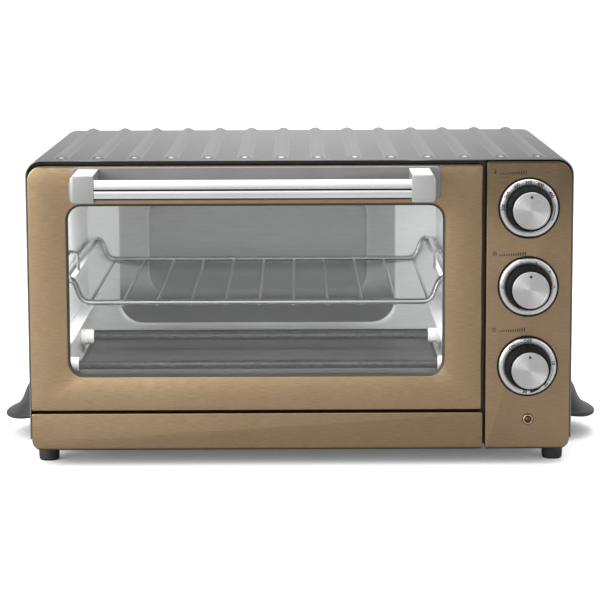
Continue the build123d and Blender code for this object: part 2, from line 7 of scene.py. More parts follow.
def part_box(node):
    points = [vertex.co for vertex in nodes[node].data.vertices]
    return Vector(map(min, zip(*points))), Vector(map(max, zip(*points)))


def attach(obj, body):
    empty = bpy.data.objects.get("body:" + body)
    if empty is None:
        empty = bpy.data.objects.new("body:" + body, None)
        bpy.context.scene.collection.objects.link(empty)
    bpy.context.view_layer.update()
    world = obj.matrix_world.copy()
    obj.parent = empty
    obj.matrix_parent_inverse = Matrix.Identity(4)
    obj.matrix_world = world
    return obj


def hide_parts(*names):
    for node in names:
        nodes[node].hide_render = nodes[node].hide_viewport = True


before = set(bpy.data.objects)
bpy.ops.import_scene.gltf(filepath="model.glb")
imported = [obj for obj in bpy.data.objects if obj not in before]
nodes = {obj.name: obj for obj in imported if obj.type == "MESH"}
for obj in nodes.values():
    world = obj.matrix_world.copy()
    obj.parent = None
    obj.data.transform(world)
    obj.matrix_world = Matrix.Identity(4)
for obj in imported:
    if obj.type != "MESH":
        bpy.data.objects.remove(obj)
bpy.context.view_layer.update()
scene = bpy.context.scene


def edge(node, axis, side):
    # lowest (side 0) or highest (side 1) reach of a node along x, y or z
    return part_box(node)[side]["xyz".index(axis)]


def centreOf(node, axis):
    return (edge(node, axis, 0) + edge(node, axis, 1)) / 2


frontY = edge("door_panel", "y", 0)  # the plane of the bronze panels
print("frame loaded")


# Node tree helpers

def addNode(tree, kind, inputs=None, **settings):
    node = tree.nodes.new(kind)
    for key, value in settings.items():
        setattr(node, key, value)
    for key, value in (inputs or {}).items():
        if isinstance(value, bpy.types.NodeSocket):
            tree.links.new(value, node.inputs[key])
        else:
            node.inputs[key].default_value = value
    return node


def objectPlace(tree):
    return addNode(tree, "ShaderNodeTexCoord").outputs["Object"]


def vectorStep(tree, operation, *values):
    return addNode(tree, "ShaderNodeVectorMath", dict(enumerate(values)), operation=operation).outputs


def numberStep(tree, operation, *values):
    return addNode(tree, "ShaderNodeMath", dict(enumerate(values)), operation=operation).outputs["Value"]


def shaderBase(name, roughness, metallic, **constants):
    # a new material with its shader; constants sit directly on the shader's sockets
    material = bpy.data.materials.new(name)
    material.use_nodes = True
    tree = material.node_tree
    shader = tree.nodes["Principled BSDF"]
    shader.inputs["Roughness"].default_value = roughness
    shader.inputs["Metallic"].default_value = metallic
    for key, value in constants.items():
        shader.inputs[key].default_value = value
    return material, tree, shader


def stretchedNoise(tree, scale, detail=3.0, rough=0.6):
    # noise in object space, stretched by its scale along x, y and z, in cycles per metre
    mapping = addNode(tree, "ShaderNodeMapping", {"Vector": objectPlace(tree), "Scale": scale})
    return addNode(tree, "ShaderNodeTexNoise", {
        "Vector": mapping.outputs["Vector"], "Scale": 1.0, "Detail": detail,
        "Roughness": rough}).outputs["Fac"]


def spread(tree, value, low, high, fromLow=0.3, fromHigh=0.7):
    return addNode(tree, "ShaderNodeMapRange", {
        "Value": value, "From Min": fromLow, "From Max": fromHigh, "To Min": low,
        "To Max": high}).outputs["Result"]


def colour(tone):
    # a number stands for a grey
    return (*tone, 1) if isinstance(tone, tuple) else (tone, tone, tone, 1)


def tinted(tree, value, dark, light):
    # colour that runs from dark to light with a value between 0 and 1
    return addNode(tree, "ShaderNodeMix", {"Factor": value, 6: colour(dark), 7: colour(light)},
                   data_type="RGBA").outputs[2]


def multiplied(tree, colorA, colorB):
    return addNode(tree, "ShaderNodeMix", {"Factor": 1.0, 6: colorA, 7: colorB}, data_type="RGBA",
                   blend_type="MULTIPLY").outputs[2]


def bump(tree, shader, height, strength, distance):
    node = addNode(tree, "ShaderNodeBump", {"Height": height, "Strength": strength, "Distance": distance})
    tree.links.new(node.outputs["Normal"], shader.inputs["Normal"])


def patchy(tree, shader, fine, slow, dark, light, patchTone):
    # base colour from a fine noise, over slow patches of tone
    color = tinted(tree, spread(tree, fine, 0, 1), dark, light)
    patches = tinted(tree, spread(tree, slow, 0, 1), patchTone, 1)
    tree.links.new(multiplied(tree, color, patches), shader.inputs["Base Color"])


def grained(name, dark, light, roughness, grain, strength, metallic=1.0, blotch=(14, 14, 14), **constants):
    # brushed or drawn metal: fine streaks along one axis, over slow patches of tone
    material, tree, shader = shaderBase(name, roughness, metallic, **constants)
    fine = stretchedNoise(tree, grain, 4.0, 0.7)
    patchy(tree, shader, fine, stretchedNoise(tree, blotch, 2.0, 0.5), dark, light, 0.93)
    tree.links.new(spread(tree, fine, roughness * 0.82, roughness * 1.22), shader.inputs["Roughness"])
    bump(tree, shader, fine, strength, 0.0003)
    return material


def speckled(name, dark, light, roughness, size, strength, metallic=0.0, **constants):
    # cast, painted or moulded surface: an even fine texture without direction
    material, tree, shader = shaderBase(name, roughness, metallic, **constants)
    fine = stretchedNoise(tree, (size, size, size), 3.0, 0.6)
    slow = stretchedNoise(tree, (30, 30, 30), 2.0, 0.5)
    patchy(tree, shader, fine, slow, dark, light, 0.9)
    tree.links.new(spread(tree, slow, roughness * 0.9, roughness * 1.12), shader.inputs["Roughness"])
    bump(tree, shader, fine, strength, 0.0002)
    return material


def spangled(name, dark, light, roughness, size):
    # plated sheet with the crystal pattern of zinc
    material, tree, shader = shaderBase(name, roughness, 1.0)
    cells = addNode(tree, "ShaderNodeTexVoronoi", {"Vector": objectPlace(tree), "Scale": size})
    shade = addNode(tree, "ShaderNodeSeparateColor", {"Color": cells.outputs["Color"]})
    tree.links.new(tinted(tree, shade.outputs["Red"], dark, light), shader.inputs["Base Color"])
    tree.links.new(spread(tree, shade.outputs["Green"], roughness * 0.8, roughness * 1.2, 0, 1),
                   shader.inputs["Roughness"])
    bump(tree, shader, stretchedNoise(tree, (400, 400, 400)), 0.06, 0.0002)
    return material


def shaded(material, axis, line, clear, reach, least):
    # paints shade into a material towards a line across it: down to least within clear of it, not at all beyond
    # reach
    tree = material.node_tree
    shader = tree.nodes["Principled BSDF"]
    parts = addNode(tree, "ShaderNodeSeparateXYZ", {"Vector": objectPlace(tree)})
    distance = numberStep(tree, "ABSOLUTE", numberStep(tree, "SUBTRACT", parts.outputs[axis], line))
    fade = addNode(tree, "ShaderNodeMapRange", {"Value": distance, "From Min": clear, "From Max": reach},
                   interpolation_type="SMOOTHSTEP")
    before = shader.inputs["Base Color"].links[0].from_socket
    tone = tinted(tree, fade.outputs["Result"], least, 1)
    tree.links.new(multiplied(tree, before, tone), shader.inputs["Base Color"])


finish = {
    "bronzeDark": (0.285, 0.200, 0.118), "bronzeLight": (0.385, 0.278, 0.168), "bronzeRoughness": 0.36,
    "doorPaintedLight": 1.12, "stripPaintedLight": 0.92, "controlPaintedLight": 1.02,
    "roofDark": 0.33, "roofLight": 0.40, "roofRoughness": 0.30,
}


def bronze(name, tone):
    # brushed bronze sheet, with painted shade that darkens it a little towards the right
    dark, light = (tuple(tone * c for c in finish[key]) for key in ("bronzeDark", "bronzeLight"))
    sheet = grained(name, dark, light, finish["bronzeRoughness"], (130, 1500, 1500), 0.18, Anisotropic=0.4)
    shaded(sheet, "X", 0.150, 0.0, 0.36, 0.80)
    return sheet


# names, then dark and light tone, roughness, grain or size in cycles per metre, strength of the bump
# the door, the strip and the control panel take copies of one bronze, each scaled to the light that falls on
# it: painted light levels
bronzeSteel = bronze("bronzeSteel", finish["doorPaintedLight"])
stripSteel = bronze("stripSteel", finish["stripPaintedLight"])
controlSteel = bronze("controlSteel", finish["controlPaintedLight"])
roofSteel = grained("roofSteel", finish["roofDark"], finish["roofLight"], finish["roofRoughness"],
                    (90, 1500, 1500), 0.05, blotch=(9, 9, 9))
cavitySteel = grained("cavitySteel", 0.72, 0.82, 0.40, (60, 60, 900), 0.03, 0.45)
# painted shade: darker copies of the cavity's steel for its back, the slope of its dish and the dish's floor
backShadeSteel = grained("backShadeSteel", 0.66, 0.76, 0.40, (60, 60, 900), 0.03, 0.45)
slopeShadeSteel = grained("slopeShadeSteel", 0.33, 0.39, 0.38, (60, 60, 900), 0.03, 0.45)
dishShadeSteel = grained("dishShadeSteel", 0.17, 0.21, 0.36, (60, 60, 900), 0.03, 0.45)
trayEnamel = speckled("trayEnamel", 0.05, 0.09, 0.45, 900, 0.05, 0.4)
platedSteel = spangled("platedSteel", (0.42, 0.43, 0.44), (0.60, 0.61, 0.62), 0.38, 160)
frameSteel = grained("frameSteel", (0.07, 0.068, 0.065), (0.11, 0.105, 0.10), 0.42, (60, 900, 900), 0.05)
nickelWire = grained("nickelWire", 0.60, 0.74, 0.18, (700, 700, 700), 0.05)
heaterSheath = grained("heaterSheath", (0.16, 0.155, 0.15), (0.30, 0.29, 0.28), 0.42, (220, 500, 500), 0.1)
whiteCeramic = speckled("whiteCeramic", (0.70, 0.69, 0.66), (0.82, 0.81, 0.78), 0.55, 1500, 0.15)
greyCasting = speckled("greyCasting", 0.31, 0.42, 0.42, 2600, 0.10, 0.7)
# painted highlight: a near-white copy of the grey casting for the handle arms' flat tops
paintedTopHighlight = speckled("paintedTopHighlight", 0.90, 0.95, 0.35, 2600, 0.04, 0.1)
# painted shade: a darker copy of the grey casting for the plate in the handle's shadow
shadedPlateCasting = speckled("shadedPlateCasting", 0.165, 0.22, 0.45, 2600, 0.10, 0.6)
polishedBar = grained("polishedBar", (0.66, 0.66, 0.67), (0.72, 0.72, 0.73), 0.22, (20, 2600, 2600), 0.0)
blackPlastic = speckled("blackPlastic", 0.010, 0.020, 0.42, 1600, 0.2)
knobPlastic = speckled("knobPlastic", 0.006, 0.012, 0.5, 1200, 0.1, IOR=1.08)
footRubberAndShadow = speckled("footRubberAndShadow", 0.012, 0.022, 0.55, 1500, 0.15)
redLens = speckled("redLens", (0.035, 0.004, 0.003), (0.06, 0.006, 0.005), 0.10, 500, 0.02)
lampRing = grained("lampRing", (0.50, 0.36, 0.30), (0.62, 0.46, 0.38), 0.3, (900, 900, 900), 0.03)
darkRim = speckled("darkRim", (0.028, 0.020, 0.012), (0.045, 0.034, 0.022), 0.45, 1500, 0.1)
darkPrintAndShadow = speckled("darkPrintAndShadow", 0.010, (0.018, 0.016, 0.014), 0.6, 1500, 0.05)
screwSteel = grained("screwSteel", 0.40, 0.55, 0.3, (900, 900, 900), 0.05)
fanAluminium = grained("fanAluminium", 0.50, 0.64, 0.35, (500, 500, 500), 0.05)
motorLacquer = grained("motorLacquer", (0.05, 0.05, 0.055), (0.10, 0.10, 0.105), 0.45, (1800, 60, 60), 0.1)

stripFoot, panelFoot = edge("lower_front_strip", "z", 0), edge("control_panel", "z", 0)
doorHead, panelHead = edge("door_panel", "z", 1), edge("control_panel", "z", 1)
# painted shade and painted reflection along lines: the control panel darker towards its top; dark lines at the
# foot and the head of the panels, where their edges fall into shadow; a dark painted reflection across the
# middle of the cavity's back; the dish's slope and floor darker towards the bottom; the roof darker towards its
# left and right, for the reflections it shows
for material, axis, line, clear, reach, least in (
        (controlSteel, "Z", 0.222, 0.0, 0.055, 0.56), (stripSteel, "Z", stripFoot, 0.0004, 0.0022, 0.22),
        (controlSteel, "Z", panelFoot, 0.0004, 0.0022, 0.22),
        (bronzeSteel, "Z", doorHead, 0.0003, 0.0018, 0.25),
        (controlSteel, "Z", panelHead, 0.0003, 0.0018, 0.25), (backShadeSteel, "X", -0.037, 0.060, 0.165, 0.40),
        (slopeShadeSteel, "Z", 0.070, 0.010, 0.036, 0.22), (dishShadeSteel, "Z", 0.078, 0.005, 0.060, 0.60),
        (roofSteel, "X", -0.230, 0.0, 0.26, 0.62), (roofSteel, "X", 0.210, 0.0, 0.20, 0.50)):
    shaded(material, axis, line, clear, reach, least)


def makeWindowGlass():
    # clear sheet: mostly straight through, with the gloss of its two faces
    material = bpy.data.materials.new("windowGlass")
    material.use_nodes = True
    tree = material.node_tree
    tree.nodes.remove(tree.nodes["Principled BSDF"])
    smear = spread(tree, stretchedNoise(tree, (9, 9, 9), 2.0, 0.5), 0.01, 0.05)
    clear = addNode(tree, "ShaderNodeBsdfTransparent", {"Color": (0.955, 0.965, 0.96, 1)})
    gloss = addNode(tree, "ShaderNodeBsdfGlossy", {"Color": (1, 1, 1, 1), "Roughness": smear})
    facing = addNode(tree, "ShaderNodeFresnel", {"IOR": 1.5})
    mix = addNode(tree, "ShaderNodeMixShader", {0: facing.outputs["Fac"], 1: clear.outputs["BSDF"],
                                                2: gloss.outputs["BSDF"]})
    tree.links.new(mix.outputs["Shader"], tree.nodes["Material Output"].inputs["Surface"])
    return material


windowGlass = makeWindowGlass()
print("materials made")


# Mesh helpers

def addObject(name, data):
    thing = bpy.data.objects.new(name, data)
    scene.collection.objects.link(thing)
    return thing


def plainMesh(thing, name):
    # the mesh that an object's curve or modifiers give, in place of the object
    thing.update_tag()
    bpy.context.view_layer.update()
    mesh = bpy.data.meshes.new_from_object(thing.evaluated_get(bpy.context.evaluated_depsgraph_get()))
    bpy.data.objects.remove(thing)
    mesh.name = name
    return mesh


def newPiece(name, vertices, faces, material, smooth=32):
    mesh = bpy.data.meshes.new(name)
    mesh.from_pydata([tuple(v) for v in vertices], [], faces)
    return finishedPiece(name, mesh, material, smooth)


def finishedPiece(name, mesh, material, smooth=32):
    # merges doubles, turns faces outwards and shades smooth below the given angle
    work = bmesh.new()
    work.from_mesh(mesh)
    bmesh.ops.remove_doubles(work, verts=work.verts, dist=1e-6)
    bmesh.ops.recalc_face_normals(work, faces=work.faces)
    for face in work.faces:
        face.smooth = smooth > 0
    for line in work.edges:
        if len(line.link_faces) == 2:
            line.smooth = line.calc_face_angle(0) < math.radians(smooth)
    work.to_mesh(mesh)
    work.free()
    mesh.materials.clear()
    mesh.materials.append(material)
    return addObject(name, mesh)


def settle(piece, body, slotName, *replaced):
    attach(piece, body)
    if replaced:
        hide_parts(*replaced)


def joined(name, pieces):
    # one mesh of several objects that share the origin
    work = bmesh.new()
    materials = []
    for piece in pieces:
        used = piece.data.materials[0]
        if used not in materials:
            materials.append(used)
        for face in piece.data.polygons:
            face.material_index = materials.index(used)
        work.from_mesh(piece.data)
        bpy.data.objects.remove(piece)
    mesh = bpy.data.meshes.new(name)
    work.to_mesh(mesh)
    work.free()
    for used in materials:
        mesh.materials.append(used)
    return addObject(name, mesh)


def between(a, b, t):
    return tuple(p + (q - p) * t for p, q in zip(a, b))


def quarter(steps):
    # a quarter turn as pairs that run from 0 and 1 to 1 and 0
    turns = [math.radians(90 * k / steps) for k in range(steps + 1)]
    return [(1 - math.cos(turn), 1 - math.sin(turn)) for turn in turns]


def roundedLoop(x0, x1, z0, z1, radii, steps=10, sides=6):
    # points of an upright rectangle, clockwise from the top left, with its own radius at each corner
    corners = ((x0, z1, 180, 1, -1), (x1, z1, 90, -1, -1), (x1, z0, 0, -1, 1), (x0, z0, -90, 1, 1))
    arcs = []
    for (x, z, start, sx, sz), radius in zip(corners, radii):
        turns = [math.radians(start - 90 * k / steps) for k in range(steps + 1)]
        arcs.append([(x + radius * (sx + math.cos(turn)), z + radius * (sz + math.sin(turn)))
                     for turn in turns])
    points = []
    for arc, after in zip(arcs, arcs[1:] + arcs[:1]):
        points += arc + [between(arc[-1], after[0], j / sides) for j in range(1, sides)]
    return points


def inset(rect, radii, amount):
    x0, x1, z0, z1 = rect
    return (x0 + amount, x1 - amount, z0 + amount, z1 - amount), [max(r - amount, 0.00005) for r in radii]


def levelLoop(rect, radii, amount, y):
    # an upright rectangle's rounded outline, inset by an amount, at the depth y
    area, rounds = inset(rect, radii, amount)
    return [(x, y, z) for x, z in roundedLoop(*area, rounds)]


def strungLoops(name, loops, material, capFirst=False, capLast=False, smooth=32):
    # a skin through loops of equal length, each a list of (x, y, z)
    count = len(loops[0])
    vertices = [point for loop in loops for point in loop]
    faces = []
    for i in range(len(loops) - 1):
        for k in range(count):
            n = (k + 1) % count
            faces.append((i * count + k, i * count + n, (i + 1) * count + n, (i + 1) * count + k))
    if capFirst:
        faces.append(tuple(range(count)))
    if capLast:
        faces.append(tuple(range((len(loops) - 1) * count, len(loops) * count)))
    return newPiece(name, vertices, faces, material, smooth)


# a window's edge: inset and depth where it rounds over, and how far its lip stands behind the sheet
windowLip = {"round": ((0.0006, 0), (0.00015, 0.0002), (0, 0.0007)), "depth": 0.0028}


def pressedPanel(name, rect, radii, depth, wall, bevel, material, window=None, windowRadius=0.0):
    # sheet panel: folded edge all round, an open back, and a hole with a lip if window is given
    def ring(amount, y):
        return levelLoop(rect, radii, amount, frontY + y)

    loops = [ring(wall, depth), ring(0, depth)] + [ring(bevel * c, bevel * s) for c, s in quarter(4)]
    if window:
        lip = wall + windowLip["depth"]
        loops += [levelLoop(window, [windowRadius] * 4, -amount, frontY + y) for amount, y in (
            *windowLip["round"], (0, lip), (wall, lip), (wall, wall))]
        return strungLoops(name, loops + [ring(wall, wall), ring(wall, depth)], material)
    front = strungLoops(name + "Front", loops, material, capLast=True)
    back = strungLoops(name + "Back", [ring(wall, depth), ring(wall, wall)], material, capLast=True)
    return joined(name, [front, back])


def lathed(name, profile, material, x, z, steps=96, ripple=None, smooth=32):
    # turned part about an axis along y. The profile gives radius and distance behind the front plane
    loops = []
    for radius, depth in profile:
        turns = [2 * math.pi * k / steps for k in range(steps)]
        reach = [radius + (ripple(radius, depth, turn) if ripple else 0) for turn in turns]
        loops.append([(x + r * math.sin(turn), frontY + depth, z + r * math.cos(turn))
                      for r, turn in zip(reach, turns)])
    return strungLoops(name, loops, material, smooth=smooth)


def wire(name, points, radius, material, bends=0.003, sides=16):
    # round wire through points, with small bends at the corners
    curve = bpy.data.curves.new(name, "CURVE")
    curve.dimensions = "3D"
    curve.bevel_depth = radius
    curve.bevel_resolution = sides // 4
    curve.use_fill_caps = True
    path = bentPath(points, bends)
    spline = curve.splines.new("POLY")
    spline.points.add(len(path) - 1)
    for point, place in zip(spline.points, path):
        point.co = (*place, 1)
    return finishedPiece(name, plainMesh(addObject(name, curve), name), material, 50)


def bentPath(points, bend, steps=6):
    # replaces each inner corner with a short smooth curve
    places = [Vector(p) for p in points]
    path = [places[0]]
    for before, corner, after in zip(places, places[1:], places[2:]):
        a = corner + (before - corner).normalized() * min(bend, (before - corner).length * 0.45)
        b = corner + (after - corner).normalized() * min(bend, (after - corner).length * 0.45)
        for k in range(steps + 1):
            t = k / steps
            path.append(a * (1 - t) ** 2 + corner * 2 * t * (1 - t) + b * t ** 2)
    path.append(places[-1])
    return path


def slabPiece(name, outlinePoints, x0, x1, material):
    # a side outline of (y, z) points, drawn out from x0 to x1
    loops = [[(x, y, z) for y, z in outlinePoints] for x in (x0, x1)]
    return strungLoops(name, loops, material, True, True, 40)


def softened(piece, width, segments=3, angle=40):
    # rounds the sharp edges of a mesh
    work = bmesh.new()
    work.from_mesh(piece.data)
    sharp = [e for e in work.edges if len(e.link_faces) == 2 and e.calc_face_angle(0) > math.radians(angle)]
    bmesh.ops.bevel(work, geom=sharp, offset=width, segments=segments, profile=0.5, affect="EDGES",
                    clamp_overlap=True)
    for face in work.faces:
        face.smooth = True
    for line in work.edges:
        line.smooth = len(line.link_faces) != 2 or line.calc_face_angle(0) < math.radians(angle)
    work.to_mesh(piece.data)
    work.free()
    return piece


def smoothCopy(node, name, material, angle=32):
    # the node's own shape, merged and shaded smooth
    return finishedPiece(name, nodes[node].data.copy(), material, angle)


def cutWith(piece, cutter):
    # removes the cutter's volume from the piece and deletes the cutter
    name, material = piece.name, piece.data.materials[0]
    modifier = piece.modifiers.new("cut", "BOOLEAN")
    modifier.operation = "DIFFERENCE"
    modifier.solver = "EXACT"
    modifier.object = cutter
    mesh = plainMesh(piece, name)
    bpy.data.objects.remove(cutter)
    return finishedPiece(name, mesh, material)


# Geometry Nodes: a tree that repeats a source mesh along a line

def makeRepeatTree():
    tree = bpy.data.node_groups.new("alongLine", "GeometryNodeTree")
    face = tree.interface
    for label, kind in (("Geometry", "NodeSocketGeometry"), ("Count", "NodeSocketInt"),
                        ("Start", "NodeSocketVector"), ("Step", "NodeSocketVector"),
                        ("Material", "NodeSocketMaterial")):
        face.new_socket(label, in_out="INPUT", socket_type=kind)
    face.new_socket("Geometry", in_out="OUTPUT", socket_type="NodeSocketGeometry")
    source = addNode(tree, "NodeGroupInput").outputs
    line = addNode(tree, "GeometryNodeMeshLine", {
        "Count": source["Count"], "Start Location": source["Start"], "Offset": source["Step"]}, mode="OFFSET")
    copies = addNode(tree, "GeometryNodeInstanceOnPoints", {
        "Points": line.outputs["Mesh"], "Instance": source["Geometry"]})
    real = addNode(tree, "GeometryNodeRealizeInstances", {"Geometry": copies.outputs["Instances"]})
    dressed = addNode(tree, "GeometryNodeSetMaterial", {
        "Geometry": real.outputs["Geometry"], "Material": source["Material"]})
    addNode(tree, "NodeGroupOutput", {"Geometry": dressed.outputs["Geometry"]})
    return tree


alongLine = makeRepeatTree()


def repeated(name, unit, count, start, step, material, smooth=32):
    # runs the tree on the unit piece, which stands at the world's origin, and keeps the plain mesh
    modifier = unit.modifiers.new("repeat", "NODES")
    modifier.node_group = alongLine
    values = {"Count": count, "Start": start, "Step": step, "Material": material}
    for item in alongLine.interface.items_tree:
        if item.in_out == "INPUT" and item.name in values:
            modifier[item.identifier] = values[item.name]
    return finishedPiece(name, plainMesh(unit, name), material, smooth)


print("helpers ready")

# Camera, at the photograph's distance and pitch

cameraSet = {"height": 0.3812, "distance": 1.708, "pitch": 8.5, "roll": 0.22, "lens": 140.0, "film": 36.0}


def makeCamera():
    data = bpy.data.cameras.new("camera")
    data.lens, data.sensor_width = cameraSet["lens"], cameraSet["film"]
    place = Matrix.Translation((0, frontY - cameraSet["distance"], cameraSet["height"]))
    tilt = Matrix.Rotation(math.radians(90 - cameraSet["pitch"]), 4, "X")
    roll = Matrix.Rotation(math.radians(-cameraSet["roll"]), 4, "Z")
    scene.camera = addObject("camera", data)
    scene.camera.matrix_world = place @ tilt @ roll


makeCamera()

# Studio: a pale floor that stays white to the camera and keeps the shadow, and soft boxes

studio = {"floorReach": 60.0, "floorTone": 0.45, "floorGlow": 0.10, "ambient": 0.30}
# soft regions of the surroundings: direction, cosine where each fades out, brightness at its middle
surround = (((-0.85, -0.50, 0.20), 0.20, 1.60), ((0.85, -0.50, 0.15), 0.35, 0.15),
            ((0, -0.25, 1.0), 0.30, 0.90), ((0.12, 1.0, 0.12), 0.55, 0.48), ((0, -1.0, 0.55), 0.60, 0.10))
# place, aim, width, height and power of the lamps
boxes = {"leftBox": ((-1.5, -1.6, 0.9), (0, 0, 0.12), 1.2, 1.4, 30),
         "rightBox": ((1.6, -1.3, 0.8), (0, 0, 0.12), 0.8, 1.2, 8),
         "topBox": ((0, 0.1, 1.7), (0, 0, 0.1), 1.6, 1.0, 20)}
# under the cavity's ceiling, hidden by the door
cavityFill = ((0, frontY + 0.060, 0.183), (0, frontY + 0.12, 0.05), 0.34, 0.07, 1.55)


def makeStudio():
    reach = studio["floorReach"]
    mesh = bpy.data.meshes.new("floor")
    mesh.from_pydata([(-reach, -reach, 0), (reach, -reach, 0), (reach, reach, 0), (-reach, reach, 0)], [],
                     [(0, 1, 2, 3)])
    material, tree, shader = shaderBase("floorPaper", 0.9, 0.0)
    shader.inputs["Specular IOR Level"].default_value = 0.0
    seen = addNode(tree, "ShaderNodeLightPath").outputs["Is Camera Ray"]
    tree.links.new(tinted(tree, seen, studio["floorTone"], 1), shader.inputs["Base Color"])
    light = addNode(tree, "ShaderNodeEmission", {
        "Strength": numberStep(tree, "MULTIPLY", seen, studio["floorGlow"])})
    both = addNode(tree, "ShaderNodeAddShader", {0: shader.outputs["BSDF"], 1: light.outputs["Emission"]})
    tree.links.new(both.outputs["Shader"], tree.nodes["Material Output"].inputs["Surface"])
    mesh.materials.append(material)
    addObject("floor", mesh)


def makeSurround():
    # white to the camera; to every other ray an even grey with the soft regions added
    world = bpy.data.worlds.new("studioWorld")
    scene.world = world
    world.use_nodes = True
    tree = world.node_tree
    ray = addNode(tree, "ShaderNodeTexCoord").outputs["Generated"]
    total = studio["ambient"]
    for direction, fade, level in surround:
        facing = vectorStep(tree, "DOT_PRODUCT", ray, Vector(direction).normalized())["Value"]
        region = addNode(tree, "ShaderNodeMapRange", {
            "Value": facing, "From Min": fade, "From Max": 1.0, "To Max": level},
            interpolation_type="SMOOTHSTEP")
        total = numberStep(tree, "ADD", total, region.outputs["Result"])
    seen = addNode(tree, "ShaderNodeLightPath").outputs["Is Camera Ray"]
    strength = addNode(tree, "ShaderNodeMix", {"Factor": seen, "A": total, "B": 1.0})
    tree.nodes["Background"].inputs["Color"].default_value = (1, 1, 1, 1)
    tree.links.new(strength.outputs["Result"], tree.nodes["Background"].inputs["Strength"])


def softBox(name, place, aim, width, height, power):
    data = bpy.data.lights.new(name, "AREA")
    data.shape = "RECTANGLE"
    data.size, data.size_y, data.energy = width, height, power
    lamp = addObject(name, data)
    lamp.location = place
    lamp.rotation_euler = (Vector(aim) - Vector(place)).to_track_quat("-Z", "Y").to_euler()
    lamp.visible_camera = False
    return lamp


makeStudio()
makeSurround()
for boxName, values in boxes.items():
    softBox(boxName, *values)
softBox("cavityFill", *cavityFill).visible_glossy = False  # the polished sheet doesn't mirror it
scene.view_settings.view_transform = "Standard"
print("camera and studio ready")

# Ribbed cover

cover = {"wall": 0.0012, "hem": 0.0006, "hemDepth": 0.006, "topRadius": 0.012, "ribs": 14, "ribPitch": 0.02715,
         "ribHalfWidth": 0.0054, "ribRise": 0.002, "ribNose": 0.012, "ribSunk": 0.00002}
# height of a rib across its half width: how round its crown is, where it turns, and where it ends
ribShape = {"crown": 1.212, "turn": 0.75, "reach": 1.10}
louvres = {"count": 8, "pitch": 0.014, "length": 0.056, "width": 0.003, "height": 0.150, "centre": 0.215,
           "cut": 0.004}


def openSkin(name, profile, loops, material):
    # strings an open profile of (x, z, outward x, outward z) along stations of (y, inset), both ends joined
    count, total = len(profile), len(loops)
    vertices = [(x - nx * shrink, y, z - nz * shrink) for y, shrink in loops for x, z, nx, nz in profile]
    faces = []
    for i in range(total):
        j = (i + 1) % total
        for k in range(count - 1):
            faces.append((i * count + k, i * count + k + 1, j * count + k + 1, j * count + k))
    faces.append(tuple(i * count for i in range(total)))
    faces.append(tuple(i * count + count - 1 for i in range(total)))
    return newPiece(name, vertices, faces, material)


def coverProfile(half, bottom, top, radius, steps=14):
    # left side, rounded shoulder, roof, shoulder, right side, each point with its outward direction
    points = [(-half, bottom, -1, 0)]
    for side, start in ((-1, 180), (1, 90)):
        for k in range(steps + 1):
            angle = math.radians(start - 90 * k / steps)
            points.append((side * (half - radius) + radius * math.cos(angle),
                           top - radius + radius * math.sin(angle), math.cos(angle), math.sin(angle)))
    points.append((half, bottom, 1, 0))
    return points


def ribSwell(u):
    # height of a pressed rib across its half width: a crown that flows out into the sheet
    crown, turn, reach = ribShape["crown"], ribShape["turn"], ribShape["reach"]
    if u < turn:
        return 1 - crown * u * u
    flare = (1 - crown * turn * turn) / (reach - turn) ** 2
    return flare * max(reach - u, 0) ** 2


def ribUnit(length, across=20, along=10):
    # one rib with a domed front end at y = 0, its foot just inside the sheet
    half = cover["ribHalfWidth"] * ribShape["reach"]
    vertices, faces = [], []
    for y in [half * c for c, s in quarter(along)] + [length]:
        back = max(half - y, 0)
        width = math.sqrt(half ** 2 - back ** 2)
        for k in range(across + 1):
            x = (2 * k / across - 1) * width
            u = math.hypot(x, back) / cover["ribHalfWidth"]
            vertices.append((x, y, ribSwell(u) * cover["ribRise"] - cover["ribSunk"]))
    for i in range(along + 1):
        for k in range(across):
            a = i * (across + 1) + k
            faces.append((a, a + 1, a + across + 2, a + across + 1))
    return newPiece("ribUnit", vertices, faces, roofSteel, 80)


def slotCutter(side, half, steps=16):
    # a row of upright round-ended bars through one side of the cover
    radius = louvres["width"] / 2
    straight = louvres["length"] / 2 - radius
    turns = [math.pi * k / steps for k in range(steps + 1)]
    ring = [(radius * math.cos(turn), straight + radius * math.sin(turn)) for turn in turns]
    ring += [(-y, -z) for y, z in ring]
    unit = slabPiece("slotUnit", ring, -louvres["cut"], louvres["cut"], darkPrintAndShadow)
    first = frontY + louvres["centre"] - (louvres["count"] - 1) / 2 * louvres["pitch"]
    return repeated("louvreCutter", unit, louvres["count"], (side * half, first, louvres["height"]),
                    (0, louvres["pitch"], 0), darkPrintAndShadow)


def makeCover():
    low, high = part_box("outer_wrap")
    half, top = high.x, high.z - cover["ribRise"]
    front, back = low.y, high.y
    wall, hem, hemEnd = cover["wall"], cover["hem"], low.y + cover["hemDepth"]
    loops = [(hemEnd, wall), (front + hem, wall), (front + 0.2 * hem, wall - 0.3 * hem), (front, hem),
             (front + 0.2 * hem, 0.3 * hem), (front + hem, 0), (back, 0), (back, hem), (hemEnd, hem)]
    skin = openSkin("coverSkin", coverProfile(half, low.z, top, cover["topRadius"]), loops, roofSteel)
    for side in (-1, 1):
        skin = cutWith(skin, slotCutter(side, half))
    start = (-(cover["ribs"] - 1) / 2 * cover["ribPitch"], frontY + cover["ribNose"], top)
    unit = ribUnit(back - frontY - cover["ribNose"])
    ribs = repeated("roofRibs", unit, cover["ribs"], start, (cover["ribPitch"], 0, 0), roofSteel, 80)
    settle(joined("ribbedCover", [skin, ribs]), "cabinet", "roof_steel", "outer_wrap")


makeCover()
print("cover done")

# Bronze front panels. The notches in the door make room for the hinge brackets

